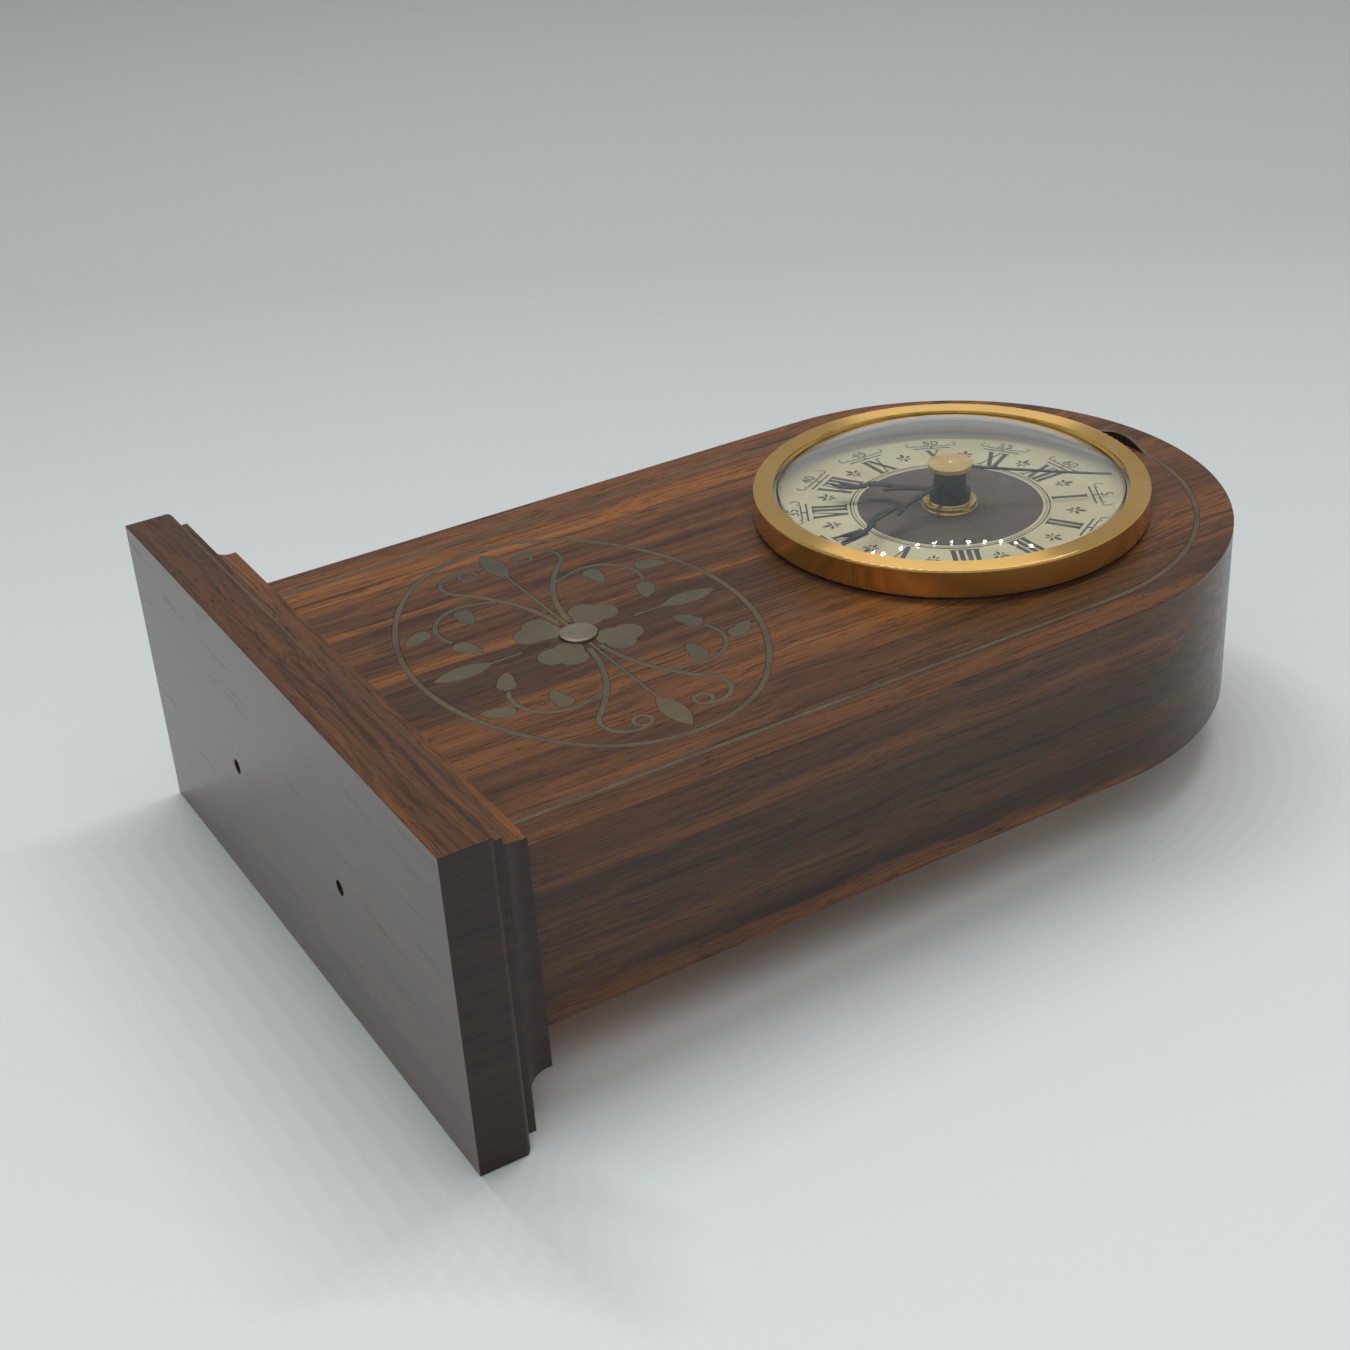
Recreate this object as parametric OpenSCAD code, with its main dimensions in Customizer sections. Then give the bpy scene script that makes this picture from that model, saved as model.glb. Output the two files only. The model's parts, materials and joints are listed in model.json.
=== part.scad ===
// Arch-topped wooden table clock with brass line inlay and a battery movement.
// Upright, dial towards -Y, +Z up, origin at the centre of the plinth's underside.

/* [Wooden case] */
// Width of the case, which is also the diameter of its round top
case_w = 100; // [92:1:130]
// Height of the straight sides, from the plinth to the spring of the arch
straight_h = 115.5; // [106:0.5:160]
// Depth of the case from front to back
case_d = 32.4; // [28:0.2:45]
// Wood left between the front face and the movement recess
front_wall = 6.5; // [5:0.1:8]
// Corner radius of the movement recess
recess_corner_r = 6; // [3:0.5:10]
// Room between the movement and the walls of its recess
recess_gap = 1.2; // [0.6:0.1:2]

/* [Plinth] */
// Overhang of the plinth in front of the case
front_lip = 12.4; // [9:0.1:18]
// Overhang of the plinth behind the case
back_lip = 10.4; // [9:0.1:16]
// Overhang of the plinth beside the case
side_lip = 12.3; // [9:0.1:18]
// Height of the square lower edge
plinth_edge_h = 8.6; // [5:0.1:14]
// Rounding of the square edge's upper arris
edge_round = 1.1; // [0.5:0.1:2]
// Inset of the small step above the square edge
fillet_inset = 1.9; // [1.5:0.1:3]
// Height of that step
fillet_h = 1.7; // [1:0.1:3]
// Flat quirk between the step and the cove
cove_quirk = 0.4; // [0.2:0.1:1]
// Radius of the cove
cove_r = 5; // [3.5:0.1:6]
// Height of the square edge above the cove
top_edge_h = 1.1; // [0.6:0.1:3]
// Distance of the two nails from the middle of the plinth
nail_x = 21.2; // [12:0.1:32]
// Diameter of a nail's shank
nail_d = 1.8; // [1.4:0.1:2.6]
// Length of a nail
nail_len = 30; // [24:1:45]
// Diameter of a nail's head
nail_head_d = 2.6; // [2.2:0.1:4]
// Thickness of a nail's head
nail_head_t = 0.8; // [0.5:0.1:1.2]
// Depth of the nail heads under the plinth's face
nail_sink = 0.6; // [0.4:0.1:2]

/* [Brass inlay] */
// Thickness of the inlaid brass
inlay_t = 0.8; // [0.5:0.1:1.5]
// Glue line round each inlaid piece
glue_gap = 0.05; // [0.02:0.01:0.1]
// Distance of the border line from the case's edge
border_inset = 5.9; // [4:0.1:9]
// Width of the border line
border_w = 0.9; // [0.6:0.1:1.5]
// Height of the medallion's centre above the plinth
medallion_h = 38.3; // [34:0.1:48]
// Length of the oval ring
oval_w = 76.8; // [72:0.2:80]
// Height of the oval ring
oval_h = 58.8; // [56:0.2:62]
// Radius of the oval's ends
oval_end_r = 24; // [21:0.5:26]
// Width of the oval ring's line
oval_line_w = 1; // [0.6:0.1:1.4]
// Width of the scrolled stems
stem_w = 1; // [0.7:0.05:1.05]
// Diameter of the round head in the middle of the flower
flower_head_d = 6.4; // [5:0.1:7.5]
// Height of that head above the wood
flower_head_h = 0.5; // [0.3:0.1:1.2]
// Length of a pointed leaf on the oval's axes
bud_len = 10.8; // [7:0.1:11]
// Width of such a leaf
bud_w = 3.9; // [2.5:0.1:5]
// Length of a small leaf on a sprig
sprig_leaf_len = 5.8; // [4.6:0.1:6]
// Width of such a small leaf
sprig_leaf_w = 3.3; // [2.6:0.1:3.4]

/* [Bezel and lens] */
// Outer diameter of the bezel
bezel_d = 71; // [70:0.2:78]
// Height of the bezel above the case front
bezel_h = 5.6; // [5.4:0.1:8]
// Width of the bezel's flat front ring
bezel_ring_w = 3.7; // [3:0.1:4.2]
// Thickness of the front ring
bezel_ring_t = 0.45; // [0.3:0.05:0.6]
// Thickness of the bezel's wall
bezel_wall = 0.8; // [0.5:0.1:1]
// Shadow gap between the bezel and the wood
bezel_gap = 0.65; // [0.2:0.05:0.7]
// Rounding of the bezel's front edge
bezel_round = 0.4; // [0.2:0.05:0.5]
// Thickness of the lens
lens_t = 1.4; // [1:0.1:1.5]
// Rise of the lens's dome above its flange
lens_rise = 7.2; // [6:0.1:9]
// Width of the lens's flange that shows inside the front ring
lens_flange_w = 0.8; // [0.5:0.1:1.2]
// Thickness of the lens's flange
lens_flange_t = 1; // [0.8:0.05:1.1]
// How far the lens reaches under the front ring
lens_tuck = 1.7; // [1.2:0.1:1.9]
// Height of the ring that holds the lens
lens_ring_h = 0.9; // [0.6:0.1:1]
// Width of that ring
lens_ring_w = 2.2; // [1.8:0.1:2.6]
// Slip clearance between the bezel and the dial pan
slip_gap = 0.08; // [0.05:0.01:0.1]

/* [Dial] */
// Thickness of the dial pan's sheet
pan_t = 0.6; // [0.4:0.1:0.8]
// Height of the dial pan's rim above the dial
pan_rim_h = 1.3; // [1.1:0.1:1.4]
// Thickness of the printed dial
dial_t = 0.3; // [0.2:0.05:0.5]
// Height of the dial's face in front of the wood
dial_out = 0.5; // [0.3:0.05:0.5]

/* [Hands] */
// Hour that the hands show
show_hour = 7; // [0:1:11]
// Minute that the hands show
show_minute = 28; // [0:1:59]
// Second that the hands show
show_second = 5; // [0:1:59]
// Length of the hour hand
hour_hand_len = 21.5; // [18:0.5:23]
// Length of the minute hand
minute_hand_len = 28.4; // [24:0.2:28.8]
// Length of the seconds hand
seconds_hand_len = 29; // [26:0.2:29.2]
// Sideways sway of the hour hand's crescents
hour_sway = 2.2; // [1.8:0.1:2.8]
// Width of the hour hand's stem
hour_stem_w = 1.2; // [0.9:0.05:1.3]
// Sideways sway of the minute hand's crescents
minute_sway = 1.8; // [1.5:0.1:2.4]
// Width of the minute hand's stem
minute_stem_w = 1.1; // [0.9:0.05:1.2]
// Width of the seconds hand at its cap
seconds_root_w = 0.8; // [0.6:0.05:1]
// Width of the seconds hand at its tip
seconds_tip_w = 0.4; // [0.3:0.05:0.5]
// Thickness of a hand's sheet
hand_t = 0.25; // [0.2:0.05:0.3]
// Clear height between two hands' hubs
hand_gap = 0.2; // [0.15:0.05:0.3]
// Diameter of the hour hand's hub
hour_hub_d = 7.4; // [6.4:0.1:9]
// Diameter of the minute hand's hub
minute_hub_d = 5.8; // [4.8:0.1:7]
// Height of the hour hand's hub
hour_hub_h = 1.45; // [1.3:0.05:1.5]
// Height of the minute hand's hub
minute_hub_h = 3.2; // [3:0.05:3.25]
// Diameter of the seconds hand's round cap
cap_d = 7.9; // [7:0.1:9]
// Thickness of that cap
cap_t = 0.8; // [0.7:0.05:0.9]
// Rise of the cap above the minute hand's hub
cap_rise = 0.8; // [0.75:0.05:0.9]
// Droop of the seconds hand from its cap to its tip
seconds_droop = 3.45; // [3.4:0.05:3.5]
// Droop of the minute hand from its hub to its tip
minute_droop = 2; // [1.8:0.05:2.1]

/* [Movement housing] */
// Reach of the movement above the hand axis
movement_top = 24; // [22:0.5:27]
// Wall of the moulded housing
shell_t = 1.6; // [1.2:0.1:2]
// Corner radius of the housing
shell_corner_r = 3; // [2:0.5:5]
// Depth of the train space under the battery bay's upper wall
train_drop = 22; // [22:0.5:26]
// Diameter of a corner post
post_d = 5; // [4.4:0.1:6]
// Distance of the corner posts from the housing's outer faces
post_inset = 4.4; // [4.2:0.1:5]
// Diameter of a cover screw
screw_d = 2; // [1.6:0.1:2.4]
// Length of a cover screw under its head
screw_len = 18; // [16:0.5:22]
// Diameter of a cover screw's head
screw_head_d = 3.8; // [3.4:0.1:4.2]
// Height of a cover screw's head
screw_head_t = 1.2; // [0.8:0.1:1.4]
// Thickness of the rear cover
cover_t = 1.6; // [1.4:0.1:2]

/* [Battery] */
// Diameter of the cell
cell_d = 26.2; // [25:0.1:27]
// Length of the cell's can
cell_len = 49; // [46:0.5:50]
// Diameter of the cell's contact nub
cell_nub_d = 6.6; // [5:0.1:8]
// Height of that nub
cell_nub_h = 1.5; // [1:0.1:1.6]
// Room round the cell in its bay
cell_gap = 0.3; // [0.2:0.05:0.5]
// Room for the bowed contact at the cell's flat end
tongue_room = 5.2; // [4.6:0.1:6]
// Thickness of the contact strips
contact_t = 0.4; // [0.3:0.05:0.5]
// Width of the contact strips
contact_w = 8; // [6:0.5:10]

/* [Wheel train] */
// Distance from the hand axis to the arbors round it
arbor_pitch = 10.8; // [10.6:0.1:11.4]
// Thickness of a wheel
wheel_t = 1; // [0.8:0.1:1.2]
// Gap between two layers of wheels
layer_gap = 0.6; // [0.5:0.05:0.8]
// Diameter of a plain arbor
arbor_d = 1.2; // [1:0.05:1.3]
// Diameter of a pivot at an arbor's end
pivot_d = 0.9; // [0.7:0.05:0.9]
// Radial running clearance of pivots, pipes and bores
run_gap = 0.05; // [0.02:0.01:0.08]
// Thickness of the rear train plate
plate_t = 1.2; // [1:0.1:1.6]
// Diameter of the threaded neck
neck_d = 8; // [7.6:0.1:8.6]
// Length of the neck in front of the dial
neck_out = 1.35; // [1.3:0.05:1.45]
// Thickness of the neck's inner flange
neck_flange_t = 1; // [0.8:0.1:1.4]
// Diameter of the fixing nut
nut_d = 9.6; // [9.2:0.1:11]
// Thickness of the fixing nut
nut_t = 0.9; // [0.8:0.05:1]
// Thickness of the washer under it
washer_t = 0.3; // [0.2:0.05:0.4]
// Outer diameter of the hour pipe
hour_pipe_d = 5.2; // [5:0.05:5.4]
// Outer diameter of the minute pipe
minute_pipe_d = 4; // [3.8:0.05:4.1]
// Diameter of the seconds arbor
seconds_arbor_d = 1.5; // [1.3:0.05:1.6]
// Diameter of the setting knob
knob_d = 13; // [10:0.5:14]
// Height of the setting knob
knob_h = 6; // [4:0.5:7]
// Diameter of the setting shaft
setting_shaft_d = 3; // [2.4:0.1:3]

/* [Balance] */
// Diameter of the balance discs
balance_d = 21; // [18:0.5:21.4]
// Room between the two balance discs
balance_room = 3; // [2.6:0.1:3.6]
// Diameter of the drive coil
coil_d = 8; // [6:0.2:8.4]
// Thickness of the drive coil
coil_t = 1.6; // [1.2:0.1:1.8]
// Diameter of a balance magnet
magnet_d = 4; // [3:0.1:4.6]
// Distance of the magnets from the balance staff
magnet_pitch = 7; // [6.4:0.1:7.2]
// Width of the balance bridge's ends
bridge_w = 5.2; // [4.4:0.1:5.4]
// Distance from the drive coil to its carrier's post
coil_arm_len = 10.4; // [9:0.1:12]
// Diameter of the coil carrier's post
coil_post_d = 3.6; // [3:0.1:4]
// Outer radius of the hairspring
hairspring_r = 6; // [5:0.1:7]
// Number of the hairspring's turns
hairspring_turns = 6; // [4:1:7]
// Thickness of the hairspring's strip
hairspring_t = 0.2; // [0.15:0.01:0.25]

/* [Hidden] */
$fn = 96;

// Small overlap that makes a cut run clean through a face
eps = 0.01;

// Heights and depths of the wooden parts
plinth_w = case_w + 2 * side_lip;
plinth_d = front_lip + case_d + back_lip;
cove_z = plinth_edge_h + fillet_h + cove_r;
case_z = cove_z + top_edge_h;
axis_z = case_z + straight_h;
front_y = front_lip - plinth_d / 2;
medallion_z = case_z + medallion_h;
nail_y = front_y + case_d / 2;

// Bezel, lens and dial, as depths behind the case front and radii from the hand axis
bezel_r = bezel_d / 2;
bezel_bore_r = bezel_r - bezel_wall;
opening_r = bezel_r - bezel_ring_w;
ring_back = bezel_ring_t - bezel_h;
lens_edge_r = opening_r + lens_tuck;
dome_r = opening_r - lens_flange_w;
dome_bite = 0.3;
lens_ball_r = (dome_r * dome_r + lens_rise * lens_rise) / (2 * lens_rise);
lens_ball_d = ring_back + sqrt(lens_ball_r * lens_ball_r - dome_r * dome_r);
lens_inner_r = lens_ball_r - lens_t;
lens_foot_r = bezel_bore_r - lens_ring_w;
lens_foot = ring_back + lens_flange_t;
pan_r = bezel_bore_r - slip_gap;
dial_r = pan_r - pan_t - slip_gap;
dial_seat = pan_t + dial_t - dial_out;
recess_side = 0.3;
neck_r = neck_d / 2;

// Depth of each layer of the movement behind the case front
shell_front = front_wall;
cavity_front = shell_front + shell_t;
hour_d = cavity_front + neck_flange_t + 0.2;
layer = wheel_t + layer_gap;
motion_d = hour_d + layer;
centre_d = motion_d + layer;
third_d = centre_d + layer;
seconds_d = third_d + layer;
index_d = seconds_d + layer;
plate_d = index_d + layer;
plate_back = plate_d + plate_t;
disc_d = plate_back + layer_gap;
second_disc_d = disc_d + wheel_t + balance_room;
spring_h = 0.8;
spring_d = second_disc_d + layer;
bridge_d = spring_d + spring_h + layer_gap;
regulator_d = bridge_d + wheel_t + 0.2;
cover_d = regulator_d + wheel_t + layer_gap;
cover_back = cover_d + cover_t;
pinion_over = 0.2;

// Battery bay, below the train space
bay_h = cell_d + 2 * cell_gap;
bay_top = -train_drop - shell_t;
bay_mid = bay_top - bay_h / 2;
movement_drop = train_drop + 2 * shell_t + bay_h;
housing_back = case_d + back_lip - 0.3;
cell_axis_d = housing_back - cell_gap - cell_d / 2;
bay_front = cell_axis_d - cell_d / 2 - cell_gap;
bay_half = (cell_len + cell_nub_h + cell_gap + 2 * contact_t + tongue_room) / 2;
movement_w = 2 * (bay_half + shell_t);

// Depth levels of the hands in front of the dial
washer_front = -dial_out - washer_t;
hour_hub_back = -dial_out - neck_out - hand_gap;
hour_hub_front = hour_hub_back - hour_hub_h;
minute_hub_back = hour_hub_front - hand_gap;
minute_hub_front = minute_hub_back - minute_hub_h;
hour_blade = hour_hub_front + 1.2 * hand_t;
minute_blade = minute_hub_back - minute_hub_h / 2;
cap_back = minute_hub_front - cap_rise;
cap_front = cap_back - cap_t;
minute_angle = 6 * (show_minute + show_second / 60);
hour_angle = 30 * (show_hour + show_minute / 60);
second_angle = 6 * show_second;

// Teeth of the wheels and pinions
cannon_teeth = 12;
motion_teeth = 36;
motion_leaves = 10;
hour_teeth = 40;
centre_teeth = 64;
third_leaves = 8;
third_teeth = 60;
seconds_leaves = 8;
seconds_teeth = 60;
index_leaves = 8;
index_teeth = 16;
setting_module = 2 * arbor_pitch / (cannon_teeth + motion_teeth);
hour_module = 2 * arbor_pitch / (motion_leaves + hour_teeth);
centre_module = 2 * arbor_pitch / (third_leaves + centre_teeth);
third_module = 2 * arbor_pitch / (seconds_leaves + third_teeth);
index_module = 2 * arbor_pitch / (index_leaves + seconds_teeth);
index_r = 5;

// Directions from the hand axis to the arbors round it, in the front view
motion_dir = 20;
third_dir = 140;
index_dir = 255;
motion_at = polar(arbor_pitch, motion_dir);
third_at = polar(arbor_pitch, third_dir);
index_at = polar(arbor_pitch, index_dir);
setting_at = motion_at + [arbor_pitch, 0];
finger_reach = 3.9;
finger_gap = 0.1;
collet_r = 1.3;
balance_at = index_at + [index_r + finger_reach + finger_gap, 0];
magnet_places = [for (dir = [150, 330]) balance_at + polar(magnet_pitch, dir)];
coil_at = magnet_places[0];
coil_post_at = coil_at + polar(coil_arm_len, 150);
bridge_post_at = balance_at + [balance_d / 2 + bridge_w / 2 + layer_gap, 0];
stud_at = balance_at + [-hairspring_r, 0];
cover_top = movement_top;

// Places of the corner posts round the train space
post_x = movement_w / 2 - post_inset;
post_low = -train_drop + post_inset;
post_high = movement_top - post_inset;
post_places = [for (x = [-post_x, post_x], z = [post_low, post_high]) [x, z]];
screw_tip_d = cover_back - screw_head_t - screw_len;

function polar(r, a) = [r * cos(a), r * sin(a)];
// Turn of a gear so that it meshes with a turned neighbour lying in the opposite direction
function mesh_turn(turn, teeth, other, dir) = dir + 180 + 180 / other - (turn - dir) * teeth / other;

// Extrudes a front-view drawing (x, z) from one depth behind the case front to another
module slab(d0, d1) {
    translate([0, front_y + d1, 0])
        rotate([90, 0, 0])
            linear_extrude(height = d1 - d0)
                children();
}

// The same for a drawing centred on the hand axis
module axis_slab(d0, d1) {
    translate([0, 0, axis_z])
        slab(d0, d1)
            children();
}

// Round bar along the depth, at a place given from the hand axis
module bar(d0, d1, r, at = [0, 0]) {
    translate([at[0], front_y + d0, axis_z + at[1]])
        rotate([-90, 0, 0])
            cylinder(h = d1 - d0, r = r);
}

// Tube along the depth
module tube(d0, d1, r, bore_r, at = [0, 0]) {
    difference() {
        bar(d0, d1, r, at);
        bar(d0 - eps, d1 + eps, bore_r, at);
    }
}

// Revolves a drawing of (radius, depth) about the hand axis
module turned() {
    translate([0, front_y, axis_z])
        rotate([-90, 0, 0])
            rotate_extrude()
                children();
}

// Rectangle with rounded corners, from low corner to high corner
module round_box(low, high, r) {
    translate(low + [r, 0])
        square([high[0] - low[0] - 2 * r, high[1] - low[1]]);
    translate(low + [0, r])
        square([high[0] - low[0], high[1] - low[1] - 2 * r]);
    for (x = [low[0] + r, high[0] - r], y = [low[1] + r, high[1] - r])
        translate([x, y])
            circle(r);
}

// Toothed disc: trapezoid teeth with the first tooth along +x
module gear(teeth, module_size, d0, d1, at = [0, 0], turn = 0) {
    pitch_r = teeth * module_size / 2;
    tip_r = pitch_r + 0.8 * module_size;
    root_r = pitch_r - 1.1 * module_size;
    half = 360 / teeth * 0.19;
    outline = [for (i = [0 : teeth - 1], side = [[root_r, -1.5], [tip_r, -0.6], [tip_r, 0.6], [root_r, 1.5]])
        polar(side[0], turn + i * 360 / teeth + side[1] * half)];
    axis_slab(d0, d1)
        translate(at)
            polygon(outline);
}

// Arch outline of the case, drawn in by an inset
module arch(inset, low) {
    half = case_w / 2 - inset;
    translate([0, axis_z])
        intersection() {
            circle(half, $fn = 180);
            translate([-half, 0])
                square([2 * half, half]);
        }
    translate([-half, low])
        square([2 * half, axis_z - low]);
}

// Pointed leaf along x, made where two circles meet
module leaf(length, width, grow) {
    r = (length * length + width * width) / (4 * width);
    intersection() {
        translate([0, width / 2 - r])
            circle(r + grow);
        translate([0, r - width / 2])
            circle(r + grow);
    }
}

// Crescent along y from the origin, between two arcs that bulge towards +x
module crescent(length, outer_bulge, inner_bulge) {
    outer_r = (length * length / 4 + outer_bulge * outer_bulge) / (2 * outer_bulge);
    inner_r = (length * length / 4 + inner_bulge * inner_bulge) / (2 * inner_bulge);
    difference() {
        translate([outer_bulge - outer_r, length / 2])
            circle(outer_r);
        translate([inner_bulge - inner_r, length / 2])
            circle(inner_r);
    }
}

// Line of the given width along an arc, from angle a0 up to angle a1, under 180 degrees apart
module arc_line(r, a0, a1, width) {
    far = 2 * r + 2 * width;
    intersection() {
        difference() {
            circle(r + width / 2);
            circle(r - width / 2);
        }
        polygon([[0, 0], polar(far, a0), polar(far, (a0 + a1) / 2), polar(far, a1)]);
    }
}

// Oval of four arcs, outside or inside its line by grow
module oval(grow) {
    a = oval_w / 2;
    b = oval_h / 2;
    end_x = a - oval_end_r;
    side_r = (a * a + b * b - 2 * a * oval_end_r) / (2 * (b - oval_end_r));
    join_x = end_x + oval_end_r * end_x / (side_r - oval_end_r);
    for (side = [-1, 1])
        translate([side * end_x, 0])
            circle(oval_end_r + grow);
    intersection() {
        translate([0, b - side_r])
            circle(side_r + grow, $fn = 180);
        translate([0, side_r - b])
            circle(side_r + grow, $fn = 180);
        translate([-join_x, -oval_h])
            square([2 * join_x, 2 * oval_h]);
    }
}

// Repeats a quarter of the flower in all four quarters
module quarters() {
    for (flip_x = [0, 1], flip_z = [0, 1])
        mirror([flip_x, 0])
            mirror([0, flip_z])
                children();
}

// Border line that follows the case's sides and arch
module border_shape(grow) {
    difference() {
        arch(border_inset - grow, case_z);
        arch(border_inset + border_w + grow, case_z - eps);
    }
}

module ring_shape(grow) {
    difference() {
        oval(grow);
        oval(-oval_line_w - grow);
    }
}

// Broad petal with a lobed outer edge, cut round the flower's head
module petal_shape(grow) {
    difference() {
        union() {
            translate([3.9, 4.1])
                circle(2.7 + grow);
            translate([6.4, 4.5])
                circle(2.6 + grow);
            translate([4.3, 7])
                circle(2.7 + grow);
        }
        circle(flower_head_d / 2 + 2 * glue_gap - grow);
    }
}

module head_shape(grow) {
    circle(flower_head_d / 2 + grow);
}

// Leaves at the four ends of the oval's axes, each on its straight stalk
bud_x = 30.6;
bud_z = 21.3;
stalk_w = 0.55;
module bud_shape(at, dir, stalk_from, grow) {
    reach = norm(at) - bud_len / 2 + 1;
    translate(at)
        rotate(dir)
            leaf(bud_len, bud_w, grow);
    rotate(dir)
        translate([stalk_from - grow, -stalk_w / 2 - grow])
            square([reach - stalk_from + 2 * grow, stalk_w + 2 * grow]);
}

module buds_shape(grow) {
    for (dir = [0, 180])
        bud_shape(polar(bud_x, dir), dir, 3.7, grow);
    for (dir = [90, 270])
        bud_shape(polar(bud_z, dir), dir, 10.6, grow);
}

// Scroll of one quarter: out along the axis, over a crest and into an eyelet, with a side sprig
sweep_low = [2.3, 0.85];
crest_at = [28, 7.1];
crest_r = 4.3;
eyelet_r = 1.5;
crest_off = crest_at - sweep_low;
sweep_r = (crest_off * crest_off - crest_r * crest_r) / (2 * (crest_r + crest_off[1]));
sweep_at = sweep_low + [0, sweep_r];
sweep_from = -84.5;
join_dir = atan2(crest_at[1] - sweep_at[1], crest_at[0] - sweep_at[0]);
eyelet_dir = -35;
sprig_at = [13.4, 12];
sprig_r = 7.2;
sprig_low = -20;
sprig_high = 118;
tail_off = sprig_at + polar(sprig_r, sprig_low) - sweep_at;
tail_along = tail_off * polar(1, sprig_low - 90);
tail_len = sqrt(tail_along * tail_along + sweep_r * sweep_r - tail_off * tail_off) - tail_along;

module scroll_shape(grow) {
    sweep_w = stem_w + 2 * grow;
    crest_w = 0.85 * stem_w + 2 * grow;
    curl_w = 0.7 * stem_w + 2 * grow;
    translate(sweep_at)
        arc_line(sweep_r, sweep_from - grow * 57 / sweep_r, join_dir, sweep_w);
    translate(crest_at) {
        arc_line(crest_r, 60, join_dir + 183, crest_w);
        arc_line(crest_r, eyelet_dir, 60, crest_w);
    }
    translate(crest_at + polar(crest_r - eyelet_r, eyelet_dir))
        difference() {
            circle(eyelet_r + curl_w / 2, $fn = 48);
            circle(eyelet_r - curl_w / 2, $fn = 48);
        }
    translate(sprig_at) {
        arc_line(sprig_r, sprig_low, sprig_high + grow * 57 / sprig_r, crest_w);
        rotate(sprig_low)
            translate([sprig_r - curl_w / 2, -tail_len])
                square([curl_w, tail_len + 0.3]);
    }
}

// Three small leaves of one sprig, each with a round head and a bent point
sprig_leaf_places = [[7.9, 17.6, 218], [17.8, 12.5, 188], [15.3, 21.5, 128]];
module sprig_shape(grow) {
    head_r = 0.5 * sprig_leaf_w;
    for (place = sprig_leaf_places)
        translate([place[0], place[1]])
            rotate(place[2]) {
                circle(head_r + grow);
                translate([sprig_leaf_len / 2 - head_r, -head_r / 5])
                    rotate(-8)
                        leaf(sprig_leaf_len, 0.85 * sprig_leaf_w, grow);
            }
}

// All inlay outlines of the medallion, for the pockets in the wood
module medallion_shape(grow) {
    ring_shape(grow);
    head_shape(grow);
    buds_shape(grow);
    quarters() {
        petal_shape(grow);
        scroll_shape(grow);
        sprig_shape(grow);
    }
}

// Lays a medallion drawing into the case front
module medallion_slab(d0, d1) {
    translate([0, 0, medallion_z])
        slab(d0, d1)
            children();
}

// One profile of the plinth: square edge, step, cove and top edge
module plinth_profile(width) {
    half = width / 2;
    cove_x = half - fillet_inset - cove_quirk;
    translate([-half, 0])
        square([width, plinth_edge_h - edge_round]);
    translate([edge_round - half, 0])
        square([width - 2 * edge_round, plinth_edge_h]);
    for (side = [-1, 1])
        translate([side * (half - edge_round), plinth_edge_h - edge_round])
            circle(edge_round, $fn = 48);
    translate([fillet_inset - half, 0])
        square([width - 2 * fillet_inset, plinth_edge_h + fillet_h]);
    difference() {
        translate([-cove_x, 0])
            square([2 * cove_x, cove_z]);
        for (side = [-1, 1])
            translate([side * cove_x, cove_z])
                circle(cove_r);
    }
    translate([cove_r - cove_x, 0])
        square([2 * (cove_x - cove_r), case_z]);
}

module case_body() {
    color("saddlebrown")
        difference() {
            slab(0, case_d)
                arch(0, case_z);
            bar(-eps, dial_seat, pan_r + recess_side);
            bar(0, front_wall + eps, neck_r + 5 * run_gap);
            axis_slab(front_wall, case_d + eps)
                round_box([-movement_w / 2 - recess_gap, -movement_drop - recess_gap],
                    [movement_w / 2 + recess_gap, movement_top + recess_gap], recess_corner_r);
            slab(-eps, inlay_t)
                border_shape(glue_gap);
            medallion_slab(-eps, inlay_t)
                medallion_shape(glue_gap);
            for (side = [-1, 1])
                translate([side * nail_x, nail_y, 0])
                    cylinder(h = nail_sink + nail_head_t + nail_len + run_gap, d = nail_d + run_gap);
        }
}

module plinth() {
    color("sienna")
        difference() {
            intersection() {
                translate([0, plinth_d / 2, 0])
                    rotate([90, 0, 0])
                        linear_extrude(height = plinth_d)
                            plinth_profile(plinth_w);
                translate([-plinth_w / 2, 0, 0])
                    rotate([90, 0, 90])
                        linear_extrude(height = plinth_w)
                            plinth_profile(plinth_d);
            }
            for (side = [-1, 1])
                translate([side * nail_x, nail_y, -eps]) {
                    cylinder(h = nail_sink + nail_head_t + 2 * eps, d = nail_head_d + run_gap);
                    cylinder(h = case_z + 1, d = nail_d + run_gap);
                }
        }
}

module plinth_nails() {
    color("dimgray")
        for (side = [-1, 1])
            translate([side * nail_x, nail_y, nail_sink]) {
                cylinder(h = nail_head_t, d = nail_head_d);
                cylinder(h = nail_head_t + nail_len, d = nail_d);
            }
}

module border_line() {
    color("darkkhaki")
        slab(0, inlay_t)
            border_shape(0);
}

module medallion_ring() {
    color("darkkhaki")
        medallion_slab(0, inlay_t)
            ring_shape(0);
}

module flower_petals() {
    color("darkkhaki")
        medallion_slab(0, inlay_t)
            quarters()
                petal_shape(0);
}

// Round-headed stud with a softly domed face
module flower_head() {
    head_r = flower_head_d / 2;
    dome_r = (head_r * head_r + flower_head_h * flower_head_h) / (2 * flower_head_h);
    color("khaki")
        translate([0, front_y, medallion_z])
            rotate([-90, 0, 0])
                intersection() {
                    translate([0, 0, -flower_head_h])
                        cylinder(h = flower_head_h + inlay_t, r = head_r);
                    translate([0, 0, dome_r - flower_head_h - flower_head_h / 3])
                        sphere(dome_r + flower_head_h / 3);
                }
}

module pointed_leaves() {
    color("darkkhaki")
        medallion_slab(0, inlay_t)
            buds_shape(0);
}

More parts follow.
